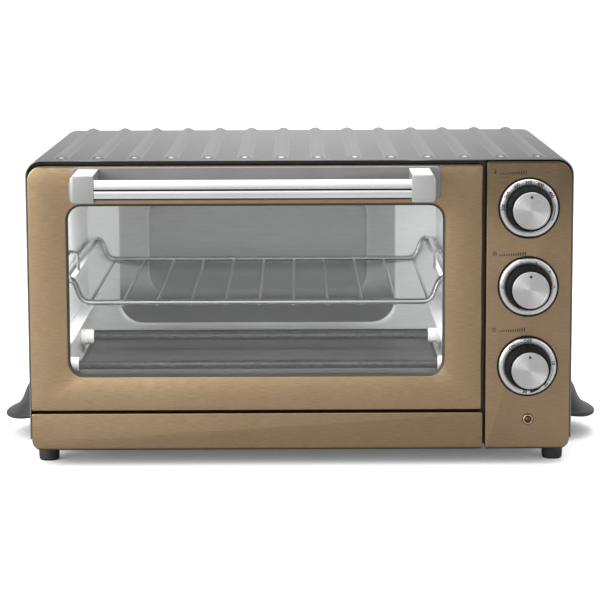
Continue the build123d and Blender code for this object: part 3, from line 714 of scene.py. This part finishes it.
fronts = {"notches": (-0.194, 0.1241), "notchWidth": 0.004, "notchRise": 0.007, "notchPast": 0.001,
          "depth": 0.012, "wall": 0.0012, "bevel": 0.0008, "doorCorners": (0.011, 0.002, 0.0015, 0.0015),
          "stripCorners": (0.0015, 0.0015, 0.0015, 0.007),
          "controlCorners": (0.0015, 0.0114, 0.0075, 0.0015),
          "windowMargin": (0.0278, 0.0273, 0.0253, 0.0281), "windowRadius": 0.012,
          # inset from the window's edge and distance behind the front
          "rim": ((-0.0004, 0.0038), (-0.0004, 0.0005), (0.0002, 0.0005), (0.0017, 0.0016), (0.0017, 0.0038))}


def makeFronts():
    low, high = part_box("door_panel")
    left, right, bottom, top = fronts["windowMargin"]
    window = (low.x + left, high.x - right, low.z + bottom, high.z - top)
    panel = pressedPanel("doorPanel", (low.x, high.x, low.z, high.z), fronts["doorCorners"], fronts["depth"],
                         fronts["wall"], fronts["bevel"], bronzeSteel, window, fronts["windowRadius"])
    past = fronts["notchPast"]
    start, end = frontY + fronts["wall"] + 0.1 * past, frontY + fronts["depth"] + past
    foot, head = low.z - past, low.z + fronts["notchRise"]
    for x in fronts["notches"]:
        section = [(start, foot), (end, foot), (end, head), (start, head)]
        panel = cutWith(panel, slabPiece("notch", section, x, x + fronts["notchWidth"], bronzeSteel))
    settle(panel, "door", "bronze_steel", "door_panel")
    for node, name, radii, steel in (
            ("lower_front_strip", "lowerStrip", fronts["stripCorners"], stripSteel),
            ("control_panel", "controlPanel", fronts["controlCorners"], controlSteel)):
        low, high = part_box(node)
        strip = pressedPanel(name, (low.x, high.x, low.z, high.z), radii, high.y - low.y, fronts["wall"],
                             fronts["bevel"], steel)
        settle(strip, "cabinet", "bronze_steel", node)
    return window


def makeWindowRim(rect):
    # dark band that shows as a fine line inside the window's edge
    loops = [levelLoop(rect, [fronts["windowRadius"]] * 4, amount, frontY + y) for amount, y in fronts["rim"]]
    settle(strungLoops("windowRim", loops, darkRim), "door", "black_plastic")


makeWindowRim(makeFronts())
settle(smoothCopy("door_glass", "doorGlass", windowGlass, 20), "door", "window_glass", "door_glass")
settle(smoothCopy("door_inner_frame", "doorInnerFrame", platedSteel), "door", "galvanised_steel",
       "door_inner_frame")
print("front panels done")

# Door handle

handle = {"shadowRim": 0.0009, "shadowRimCorner": 0.004, "shadowRimRise": 0.0006, "shadowRimRound": 0.0003,
          "barDrop": 0.0007, "topSlope": 0.0003, "capSide": 0.0037, "capShrink": 0.30, "capBack": 0.0024,
          "frontRound": 0.0016, "frontStretch": 1.35, "frontLift": 0.001, "topRound": 0.0014,
          "plateRound": 0.0011, "plateCorner": 0.004, "footInset": 0.0004, "footRise": 0.0002}
# the arms' inner edge: distance outwards, and how far it is rounded in
capEdge = {"steps": ((0, 0.9), (0.0002, 0.3), (0.0008, 0.0)), "back": 0.0006, "shrink": 0.04}
# section of the grip bar: two flats in front with a fine groove between them, and a round back. The front is
# given as distance behind its face, and height above the foot, the middle or the head
bar = {"back": 0.0040, "grooveBand": 0.0006, "footBand": 0.0010,
       "foot": ((0.0018, 0), (0.0007, 0.0011), (0.0001, 0.0026)),
       "middle": ((0, -0.0012), (0.0003, -0.0007), (0.0030, -0.0004), (0.0030, 0.0004), (0.0004, 0.0007),
                  (0.0003, 0.0012)),
       "head": ((0.0009, -0.0026), (0.0016, -0.0011), (0.0027, 0))}


def raisedPlate(name, rect, radii, front, back, bevel, material):
    # solid plate that faces the front, its front edge rounded
    rounding = [(handle["footInset"], back), (0, back - handle["footRise"])]
    rounding += [(bevel * c, front + bevel * s) for c, s in quarter(5)]
    loops = [levelLoop(rect, radii, amount, y) for amount, y in rounding]
    return strungLoops(name, loops, material, capFirst=True, capLast=True)


def capOutline(low, high):
    # side outline of a handle arm as (y, z), from the plate's lower edge round the front to the top
    foot, head = handle["frontRound"], handle["topRound"]
    front = [(low.y + handle["frontStretch"] * foot * s, low.z + handle["frontLift"] + foot * c)
             for c, s in quarter(6)]
    top = [(low.y + head * c, high.z - handle["topSlope"] - head * s) for c, s in quarter(6)]
    return [(high.y, low.z)] + front + top + [(high.y, high.z)]


def makeHandleCap(node, name, outward):
    low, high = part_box(node)
    shape = capOutline(low, high)
    middle = centreOf(node, "z")
    inner, outer = (high.x, low.x) if outward < 0 else (low.x, high.x)
    loops = []
    for step, drop in capEdge["steps"]:
        loops.append([(inner + outward * step, y + drop * capEdge["back"],
                       middle + (z - middle) * (1 - drop * capEdge["shrink"])) for y, z in shape])
    for c, s in quarter(10):
        x, back = outer - outward * handle["capSide"] * s, handle["capBack"] * c
        keep = 1 - (1 - handle["capShrink"]) * c
        loops.append([(x, min(y + back, high.y), middle + (z - middle) * keep) for y, z in shape])
    cap = strungLoops(name, loops, greyCasting, capFirst=True, capLast=True, smooth=40)
    # painted highlight: the flat top faces take the near-white copy
    cap.data.materials.append(paintedTopHighlight)
    for face in cap.data.polygons:
        if face.normal.z > 0.9:
            face.material_index = 1
    settle(cap, "door", "grey_casting", node)


def barOutline(low, high):
    back, middle = bar["back"], (low.z + high.z) / 2
    points = []
    for part, base in (("foot", low.z), ("middle", middle), ("head", high.z)):
        points += [(low.y + y, base + z) for y, z in bar[part]]
    points += [(high.y - back * s, high.z - back * c) for c, s in quarter(6)]
    return points + [(high.y - back * c, low.z + back * s) for c, s in quarter(6)]


def makeHandle():
    low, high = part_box("handle_base_plate")
    seat = high.y
    plate = raisedPlate("handlePlate", (low.x, high.x, low.z, high.z), [handle["plateCorner"]] * 4, low.y,
                        high.y, handle["plateRound"], shadedPlateCasting)
    settle(plate, "door", "grey_casting", "handle_base_plate")
    for side in ("left", "right"):
        low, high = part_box("handle_cap_" + side)
        # painted shadow: a dark rim round each arm, where the gap between arm and door lies in shadow
        gap = handle["shadowRim"]
        shadowRim = raisedPlate(side + "CapShadowRim", (low.x - gap, high.x + gap, low.z - gap, high.z + gap),
                             [handle["shadowRimCorner"]] * 4, seat - handle["shadowRimRise"], seat,
                             handle["shadowRimRound"], footRubberAndShadow)
        settle(shadowRim, "door", "black_plastic")
    makeHandleCap("handle_cap_left", "handleCapLeft", -1)
    makeHandleCap("handle_cap_right", "handleCapRight", 1)
    low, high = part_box("handle_bar")
    low.z -= handle["barDrop"]
    middle = (low.z + high.z) / 2
    loops = [[(x, y, z) for y, z in barOutline(low, high)] for x in (low.x, (low.x + high.x) / 2, high.x)]
    grip = strungLoops("handleBar", loops, polishedBar, capFirst=True, capLast=True, smooth=45)
    # painted shadow: faces in the groove and along the foot take the dark material
    grip.data.materials.append(darkPrintAndShadow)
    for face in grip.data.polygons:
        inGroove = abs(face.center.z - middle) < bar["grooveBand"]
        if abs(face.normal.x) < 0.5 and (inGroove or face.center.z < low.z + bar["footBand"]):
            face.material_index = 1
    settle(grip, "door", "bar_chrome", "handle_bar")


makeHandle()
print("handle done")

# Dials

dial = {"x": edge("temperature_shaft", "x", 0) + 0.003, "ringOuter": 0.0226, "ringInner": 0.0169,
        "rise": 0.0032, "rim": 0.0007, "skirt": 0.0165, "reach": 0.022, "plate": 0.0008, "face": 0.0136,
        "ridges": 60, "ridgeDepth": 0.00022, "smoothFoot": 0.0015, "smoothTip": 0.0012,
        "dot": 0.0011, "dotInset": 0.0036, "dotRise": 0.00005}
dialHeights = {name: centreOf(name + "_shaft", "z") for name in ("temperature", "function", "timer")}


def turned(name, centre, dark, light, roughness, grooves):
    # metal turned on a lathe: grooves about an axis along y, with the stretched highlights they give
    material, tree, shader = shaderBase(name, roughness, 1.0, Anisotropic=0.75)
    arm = vectorStep(tree, "SUBTRACT", objectPlace(tree), centre)["Vector"]
    flat = vectorStep(tree, "MULTIPLY", arm, (1, 0, 1))["Vector"]
    world = addNode(tree, "ShaderNodeVectorTransform", {"Vector": flat}, vector_type="VECTOR",
                    convert_from="OBJECT", convert_to="WORLD")
    tree.links.new(world.outputs["Vector"], shader.inputs["Tangent"])
    ring = addNode(tree, "ShaderNodeTexNoise", {
        "W": vectorStep(tree, "LENGTH", flat)["Value"], "Scale": grooves, "Detail": 3.0},
        noise_dimensions="1D").outputs["Fac"]
    tree.links.new(tinted(tree, spread(tree, ring, 0, 1), dark, light), shader.inputs["Base Color"])
    bump(tree, shader, ring, 0.12, 0.0002)
    return material


def knobRipple(radius, depth, angle):
    # fine lengthwise ridges on the skirt only
    if radius < dial["face"] + dial["smoothTip"] or depth > -dial["smoothFoot"]:
        return 0.0
    return -dial["ridgeDepth"] * (0.5 + 0.5 * math.cos(dial["ridges"] * angle))


def makeDial(name, z):
    x, rise, reach, rim = dial["x"], dial["rise"], dial["reach"], dial["rim"]
    inner, outer, skirt, face = dial["ringInner"], dial["ringOuter"], dial["skirt"], dial["face"]
    centre = (x, 0, z)
    metal = turned(name + "RingMetal", centre, 0.52, 0.66, 0.30, 4000)
    rimProfile = [(outer - rim, 0), (outer - rim, -0.0022), (outer - 0.0004, -0.0024), (outer, -0.0018),
                  (outer, 0)]
    settle(lathed(name + "RingRim", rimProfile, knobPlastic, x, z), "cabinet", "black_plastic")
    outer -= rim
    ringProfile = [(inner, 0), (inner, -rise + 0.0006), (inner + 0.0002, -rise + 0.0002),
                   (inner + 0.0006, -rise), (outer - 0.0014, -rise), (outer - 0.0009, -rise + 0.0003),
                   (outer - 0.0003, -0.0020), (outer, -0.0014), (outer, 0)]
    settle(lathed(name + "Ring", ringProfile, metal, x, z), "cabinet", "dial_chrome", name + "_dial_ring")
    tip, nearAxis = reach - dial["plate"], 0.0001
    bodyProfile = [(skirt - 0.0006, -0.001), (skirt, -0.0014), (skirt, -0.005), (skirt - 0.0012, -tip + 0.0022),
                   (skirt - 0.0015, -tip + 0.0009), (skirt - 0.0020, -tip + 0.0002), (skirt - 0.0026, -tip),
                   (face, -tip + 0.0001), (nearAxis, -tip + 0.0001)]
    body = lathed(name + "Knob", bodyProfile, knobPlastic, x, z, 360, knobRipple, 30)
    settle(body, name + "_dial", "knob_plastic", name + "_knob")
    groove = -reach + 0.00018
    faceProfile = [(face, -tip), (face, -tip - 0.0003), (face - 0.0002, -tip - 0.0006),
                   (face - 0.0006, -reach + 0.0001), (face - 0.0010, -reach), (face - 0.0016, -reach),
                   (face - 0.0018, groove), (face - 0.0022, groove), (face - 0.0024, -reach),
                   (nearAxis, -reach)]
    disc = turned(name + "DiscMetal", centre, 0.41, 0.49, 0.42, 2600)
    plate = lathed(name + "KnobFace", faceProfile, disc, x, z, 128, smooth=25)
    mark = -reach - dial["dotRise"]
    dotProfile = [(dial["dot"], -reach + 0.0003), (dial["dot"], mark), (nearAxis, mark)]
    dot = lathed(name + "Pointer", dotProfile, darkPrintAndShadow, x, z + face - dial["dotInset"], 32)
    settle(joined(name + "KnobDisc", [plate, dot]), name + "_dial", "knob_metal", name + "_knob_face")


for dialName, dialHeight in dialHeights.items():
    makeDial(dialName, dialHeight)
print("dials done")

# Numbers and signs printed on the rings and above the dials. Angles run clockwise from the top

prints = {
    "radius": 0.0190, "size": 0.0035, "thick": 0.00003, "bold": 0.00014, "line": 0.00045, "thin": 0.0003,
    "temperature": ((-88, "200"), (-59, "250"), (-30, "300"), (-2, "350"), (25, "400"), (58, "450")),
    "timer": ((0, "OFF"), (-38, "ON"), (82, "10"), (135, "20"), (186, "30")), "half": 0.0009,
    "signs": {"temperature": 0.0262, "function": 0.0242, "timer": 0.0272}, "signLeft": -0.0250,
    "signRadius": 0.0014, "bars": 12, "barStart": 0.0040, "barPitch": 0.0017, "barFoot": -0.0015,
    "barHead": -0.0007, "barGrowth": 0.0002,
}


def lettered(text):
    # the built-in font as a thin solid: vertices (right, up, out) and faces
    curve = bpy.data.curves.new("print", "FONT")
    curve.body, curve.size, curve.extrude, curve.offset = text, prints["size"], prints["thick"], prints["bold"]
    curve.align_x, curve.align_y = "CENTER", "CENTER"
    mesh = plainMesh(addObject("print", curve), "print")
    shape = ([tuple(v.co) for v in mesh.vertices], [list(f.vertices) for f in mesh.polygons])
    bpy.data.meshes.remove(mesh)
    return shape


def prism(outline):
    count, thick = len(outline), prints["thick"]
    vertices = [(u, v, w) for w in (thick, -thick) for u, v in outline]
    faces = [list(range(count)), list(range(2 * count - 1, count - 1, -1))]
    faces += [[k, (k + 1) % count, count + (k + 1) % count, count + k] for k in range(count)]
    return vertices, faces


def stroke(u0, v0, u1, v1, wide=prints["line"]):
    length = math.hypot(u1 - u0, v1 - v0)
    a, b = wide / 2 * (v1 - v0) / length, wide / 2 * (u1 - u0) / length
    return prism([(u0 - a, v0 + b), (u0 + a, v0 - b), (u1 + a, v1 - b), (u1 - a, v1 + b)])


def star(reach):
    # three strokes out of one middle
    return [stroke(0, 0, reach * math.sin(a), reach * math.cos(a)) for a in (0, 2.094, 4.189)]


def arcBand(radius, start, end, wide, wideEnd=None, steps=10):
    # band along an arc, in degrees
    wideEnd = wide if wideEnd is None else wideEnd
    outline = []
    for sign, order in ((1, range(steps + 1)), (-1, range(steps, -1, -1))):
        for k in order:
            angle = math.radians(start + (end - start) * k / steps)
            r = radius + sign * (wide + (wideEnd - wide) * k / steps) / 2
            outline.append((r * math.sin(angle), r * math.cos(angle)))
    return prism(outline)


def aroundDial(shape, clock):
    # moves a shape out to its place on the ring, and turns it so that it reads from the front
    angle, radius = math.radians(clock), prints["radius"]
    turn = angle if math.cos(angle) > -0.2 else angle + math.pi
    c, s = math.cos(turn), math.sin(turn)
    right, up = radius * math.sin(angle), radius * math.cos(angle)
    return [(right + u * c + v * s, up - u * s + v * c, w) for u, v, w in shape[0]], shape[1]


def circle(radius, wide=0.0004):
    return [arcBand(radius, 0, 180, wide), arcBand(radius, 180, 360, wide)]


def printed(name, x, y, z, shapes):
    vertices, faces = [], []
    for points, polygons in shapes:
        start = len(vertices)
        vertices += [(x + u, y - w, z + v) for u, v, w in points]
        faces += [[start + k for k in polygon] for polygon in polygons]
    settle(newPiece(name, vertices, faces, darkPrintAndShadow, smooth=0), "cabinet", "black_plastic")


def makePrints():
    x, ringTop, half, radius = dial["x"], frontY - dial["rise"], prints["half"], prints["radius"]
    thin, size = prints["thin"], prints["signRadius"]
    low, high = stroke(-half, -half, half, -half), stroke(-half, half, half, half)
    wave = [stroke(-half, -half / 2, 0, half / 2), stroke(0, half / 2, half, -half / 2)]
    groups = ((-90, circle(half)), (-54, [low]), (-18, [low, high]), (18, star(half) + [low]),
              (54, [high] + wave), (90, wave))
    marks = {name: [aroundDial(lettered(text), clock) for clock, text in prints[name]]
             for name in ("temperature", "timer")}
    marks["function"] = [aroundDial(shape, clock) for clock, group in groups for shape in group]
    marks["temperature"].append(arcBand(radius, 78, 120, 2 * thin))
    marks["timer"] += [arcBand(radius, -26, -12, thin), arcBand(radius, -29, -25, 0.0, 0.0012),
                       arcBand(radius, 148, 174, 0.0002, 0.0022), arcBand(radius, 92, 126, thin)]
    for name, shapes in marks.items():
        printed(name + "Numbers", x, ringTop, dialHeights[name], shapes)
    signs = {"temperature": circle(0.0005, 0.0009) + [stroke(0, 0, 0, 0.0028, 0.0005)],
             "function": circle(size) + star(0.0011),
             "timer": circle(size) + [stroke(0, 0, 0, 0.0010), stroke(0, 0, 0.0007, 0)]}
    scale = []
    for k in range(prints["bars"]):
        u = prints["barStart"] + prints["barPitch"] * k
        scale.append(stroke(u, prints["barFoot"], u, prints["barHead"] + prints["barGrowth"] * k, 0.0009))
    for name, sign in signs.items():
        printed(name + "Sign", x + prints["signLeft"], frontY, dialHeights[name] + prints["signs"][name],
                sign + scale)


makePrints()
print("prints done")

# Power light: radius and distance behind the front plane of each ring's section

lamp = {
    "bezel": ((0.0027, 0.002), (0.0027, -0.0012), (0.0029, -0.0014), (0.0034, -0.0014), (0.0037, -0.0011),
              (0.0038, 0)),
    "seal": ((0.0038, 0), (0.0038, -0.0006), (0.0042, -0.0006), (0.0044, 0)),
    "lens": ((0.0026, 0.010), (0.0026, -0.0002), (0.0023, -0.0011), (0.0018, -0.0016), (0.0012, -0.0020),
             (0.0006, -0.0022), (0.0001, -0.0022)),
}
for part, name, material, slotName, replaced in (
        ("bezel", "lampBezel", lampRing, "dial_chrome", ["indicator_bezel"]),
        ("seal", "lampSurround", darkRim, "black_plastic", []),
        ("lens", "lampLens", redLens, "red_lens", ["indicator_lens"])):
    piece = lathed(name, lamp[part], material, centreOf("indicator_lens", "x"),
                   centreOf("indicator_lens", "z"), 64)
    settle(piece, "cabinet", slotName, *replaced)
print("light done")

# Rack, and the hooks on the door that draw it out

rack = {"wire": 0.0022, "rod": 0.00135, "bend": 0.0065, "rods": 11, "firstRod": -0.1586, "rodPitch": 0.0256,
        "rodDrop": 0.0014, "rodPast": 0.0012, "railDrop": 0.0175, "turnIn": 0.0062, "turnDown": 0.0125,
        "corner": 0.006}
hooks = {"wire": 0.0012, "bend": 0.0025, "reach": 0.0165, "turnIn": 0.006, "top": 0.159, "shoulder": 0.1575,
         "tip": 0.1445}


def makeRack():
    low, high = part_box("oven_rack")
    r = rack["wire"]
    left, right = low.x + r, high.x - r
    front, rear = low.y + r, high.y - r
    top = high.z - r
    grid = top - rack["railDrop"]
    loop = [((left + right) / 2, front, grid)]
    for x, inward, y, back in ((left, 1, front, 1), (left, 1, rear, -1), (right, -1, rear, -1),
                               (right, -1, front, 1)):
        turn = [(x + inward * rack["turnDown"], y, grid), (x + inward * rack["turnIn"], y, top),
                (x, y + back * rack["corner"], top)]
        loop += turn if inward == back else turn[::-1]
    loop.append(loop[0])
    pieces = [wire("rackLoop", loop, r, nickelWire, rack["bend"])]
    start, end = front - rack["rodPast"], rear + rack["rodPast"]
    unit = wire("rackRod", [(0, start, 0), (0, start + 0.0004, 0), (0, end, 0)], rack["rod"], nickelWire, 0, 12)
    pieces.append(repeated("rackRods", unit, rack["rods"], (rack["firstRod"], 0, grid - rack["rodDrop"]),
                           (rack["rodPitch"], 0, 0), nickelWire, 50))
    settle(joined("wireRack", pieces), "rack", "chrome_wire", "oven_rack")


def makeHooks():
    low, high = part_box("rack_hooks")
    r = hooks["wire"]
    seat = high.y - r
    pieces = []
    for x, inward in ((low.x + r, 1), (high.x - r, -1)):
        bent = x + inward * hooks["turnIn"]
        path = [(x, high.y - hooks["reach"], hooks["top"]), (x, seat, hooks["top"]),
                (bent, seat, hooks["shoulder"]), (bent, seat, hooks["tip"])]
        pieces.append(wire("hook", path, r, nickelWire, hooks["bend"], 12))
    settle(joined("rackHooks", pieces), "door", "chrome_wire", "rack_hooks")


makeRack()
makeHooks()
print("rack done")

# Cavity

cavity = {"dish": (-0.1556, 0.0822, 0.064, 0.196), "dishFloor": (-0.1295, 0.057, 0.086, 0.174),
          "depth": 0.026, "corner": 0.020, "borderCorner": 0.0005, "slopeFrom": 0.0012, "floorFrom": 0.0245}
rearBulge = {"dish": (-0.1668, 0.0934, 0.0638, 0.2072), "dishFloor": (-0.1387, 0.0662, 0.0788, 0.1832),
             "depth": 0.0344, "corner": 0.024, "borderCorner": 0.026}
press = {"lead": 0.0035, "bend": 0.006, "wall": 0.0006}


def pressedSheet(node, name, shape, material):
    # sheet that lies flat out to its border, and sinks from the dish's mouth to its floor in one smooth press
    low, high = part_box(node)
    mouth, floor, depth, bend = shape["dish"], shape["dishFloor"], shape["depth"], press["bend"]
    run = abs(floor[0] - mouth[0])
    path = bentPath([(-press["lead"], 0, 0), (0, 0, 0), (run, depth, 0), (run + 2.5 * bend, depth, 0)], bend)
    loops = [levelLoop((low.x, high.x, low.z, high.z), [shape["borderCorner"]] * 4, 0, low.y)]
    for point in path:
        rect = between(mouth, floor, point.x / run)
        loops.append(levelLoop(rect, [shape["corner"]] * 4, 0, low.y + point.y))
    skin = strungLoops(name + "Skin", loops, material, capLast=True, smooth=35)
    thickness = skin.modifiers.new("thickness", "SOLIDIFY")
    thickness.thickness = press["wall"]
    thickness.offset = 1.0
    return finishedPiece(name, plainMesh(skin, name), material, 35)


def makeCavityBack():
    sheet = pressedSheet("cavity_back", "cavityBack", cavity, backShadeSteel)
    sheet.data.materials.append(slopeShadeSteel)
    sheet.data.materials.append(dishShadeSteel)
    # painted shade: the dish's slope and floor take the darker copies, by how deep each face sinks
    start = edge("cavity_back", "y", 0)
    for face in sheet.data.polygons:
        sunk = face.center.y - start
        face.material_index = int(sunk > cavity["slopeFrom"]) + int(sunk > cavity["floorFrom"])
    settle(sheet, "cabinet", "cavity_steel", "cavity_back")


makeCavityBack()
settle(pressedSheet("rear_bulge_cover", "rearBulge", rearBulge, platedSteel), "cabinet", "galvanised_steel",
       "rear_bulge_cover")

# ceramic end of a heater: radius, and distance along its axis from a point just inside the heater's end
ceramic = {"inside": 0.004, "profile": ((0.0038, 0.0), (0.0044, 0.0), (0.0056, 0.0006), (0.0060, 0.0014),
                                        (0.0060, 0.0064), (0.0065, 0.0070), (0.0065, 0.0104), (0.0061, 0.0109))}


def insulator(x, outward, y, z, steps=48):
    # turned about an axis along x
    turns = [2 * math.pi * k / steps for k in range(steps)]
    loops = [[(x + outward * along, y + radius * math.cos(turn), z + radius * math.sin(turn)) for turn in turns]
             for radius, along in ceramic["profile"]]
    return strungLoops("insulator", loops, whiteCeramic, smooth=35)


def makeHeaters():
    for level in ("lower", "upper"):
        ends = []
        for row in ("front", "rear"):
            node = "heater_" + level + "_" + row
            low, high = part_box(node)
            y, z = centreOf(node, "y"), centreOf(node, "z")
            tube = wire(level + row.capitalize() + "Heater", [(low.x, y, z), (high.x, y, z)],
                        (high.z - low.z) / 2, heaterSheath, 0, 32)
            settle(tube, "cabinet", "heater_sheath", node)
            ends.append(insulator(low.x + ceramic["inside"], -1, y, z))
            ends.append(insulator(high.x - ceramic["inside"], 1, y, z))
        settle(joined(level + "Insulators", ends), "cabinet", "white_ceramic", level + "_heater_insulators")


makeHeaters()

for node, name, slotName, body, material, rounding in (
        ("crumb_tray", "crumbTray", "cavity_steel", "crumb_tray", trayEnamel, 0.0004),
        ("rack_guide_left", "leftGuide", "cavity_steel", "cabinet", cavitySteel, 0.00025),
        ("rack_guide_right", "rightGuide", "cavity_steel", "cabinet", cavitySteel, 0.00025),
        ("hinge_brackets", "hingeBrackets", "galvanised_steel", "cabinet", platedSteel, 0.0002),
        ("front_feet", "frontFeet", "foot_rubber", "cabinet", footRubberAndShadow, 0.0004),
        ("rear_feet", "rearFeet", "foot_rubber", "cabinet", footRubberAndShadow, 0.0004),
        ("rear_spacers", "rearSpacers", "black_plastic", "cabinet", blackPlastic, 0.0004),
        ("cord_inlet_bushing", "inletBushing", "black_plastic", "cabinet", blackPlastic, 0.0004)):
    settle(softened(smoothCopy(node, name, material, 40), rounding), body, slotName, node)

# side section of a carrying handle, as reach and height: a flared wing with a hollow for the fingers
wing = {"top": ((0, 0.0460), (0.0070, 0.0452), (0.0122, 0.0435), (0.0150, 0.0408), (0.0170, 0.0372),
                (0.0185, 0.0332), (0.0200, 0.0295), (0.0222, 0.0256), (0.0252, 0.0222), (0.0288, 0.0200),
                (0.0322, 0.0188)),
        "tip": ((0.0334, 0.0180), (0.0336, 0.0168), (0.0330, 0.0157), (0.0312, 0.0150)),
        "hollow": ((0.0282, 0.0162), (0.0240, 0.0186), (0.0206, 0.0218), (0.0180, 0.0262), (0.0162, 0.0312),
                   (0.0142, 0.0362), (0.0112, 0.0395), (0.0060, 0.0415), (0.0028, 0.0415), (0.0026, 0.0105),
                   (0, 0.0100)),
        "middle": 0.027, "endHeight": 0.45, "endReach": 0.03, "stations": 33}


def makeWing(node, name, side):
    low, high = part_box(node)
    wall, centre, half = low.x if side > 0 else high.x, centreOf(node, "y"), (high.y - low.y) / 2
    middle, least = wing["middle"], wing["endHeight"]
    loops = []
    for k in range(wing["stations"]):
        along = math.cos(math.pi * (1 - k / (wing["stations"] - 1)))
        plan = max(math.sqrt(max(1 - along ** 2, 0.0)), wing["endReach"])
        tall = least + (1 - least) * plan
        loops.append([(wall + side * reach * plan, centre + half * along, middle + (height - middle) * tall)
                      for reach, height in wing["top"] + wing["tip"] + wing["hollow"]])
    settle(strungLoops(name, loops, blackPlastic, capFirst=True, capLast=True, smooth=50), "cabinet",
           "black_plastic", node)


makeWing("side_handle_left", "leftGrip", -1)
makeWing("side_handle_right", "rightGrip", 1)
print("cavity and small pieces done")

# Pieces that keep the mesh of the solids

for material, names in (
        (cavitySteel, ("cavity_left_wall", "cavity_right_wall", "cavity_ceiling", "cavity_floor")),
        (platedSteel, ("base_pan", "rear_panel", "fan_housing")),
        (frameSteel, ("front_frame",)),
        (screwSteel, ("door_hinge_pins", "handle_screws", "temperature_shaft", "function_shaft",
                      "timer_shaft")),
        (blackPlastic, ("thermostat", "function_switch", "timer")),
        (fanAluminium, ("fan_blade",)),
        (motorLacquer, ("fan_motor",))):
    for name in names:
        nodes[name].data.materials[0] = material

# Screws in the back, with cross recesses

screws = {"radius": 0.0032, "recess": 0.0017, "armWidth": 0.24, "armHeight": 0.45, "starts": (-0.190, 0.060),
          "pitch": 0.130, "perRow": 2}


def screwHead(rise, steps=32, rings=7):
    # domed head about an axis along y, facing the back, with four arms sunk in its middle
    loops = []
    for i in range(rings + 1):
        angle = math.radians(90 * i / rings)
        loops.append([])
        for k in range(steps):
            turn, r = 2 * math.pi * k / steps, screws["radius"] * math.cos(angle)
            x, z = r * math.cos(turn), r * math.sin(turn)
            near, far = sorted((abs(x), abs(z)))
            sunk = near < screws["recess"] * screws["armWidth"] and far < screws["recess"]
            loops[-1].append((x, rise * math.sin(angle) * (screws["armHeight"] if sunk else 1.0), z))
    return strungLoops("screwHead", loops, screwSteel, smooth=50)


def makeRearScrews():
    low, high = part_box("rear_screws")
    rows = []
    for z in (low.z + screws["radius"], high.z - screws["radius"]):
        for x in screws["starts"]:
            rows.append(repeated("screwRow", screwHead(high.y - low.y), screws["perRow"], (x, low.y, z),
                                 (screws["pitch"], 0, 0), screwSteel, 50))
    settle(joined("rearScrews", rows), "cabinet", "screw_steel", "rear_screws")


makeRearScrews()
print("back done")
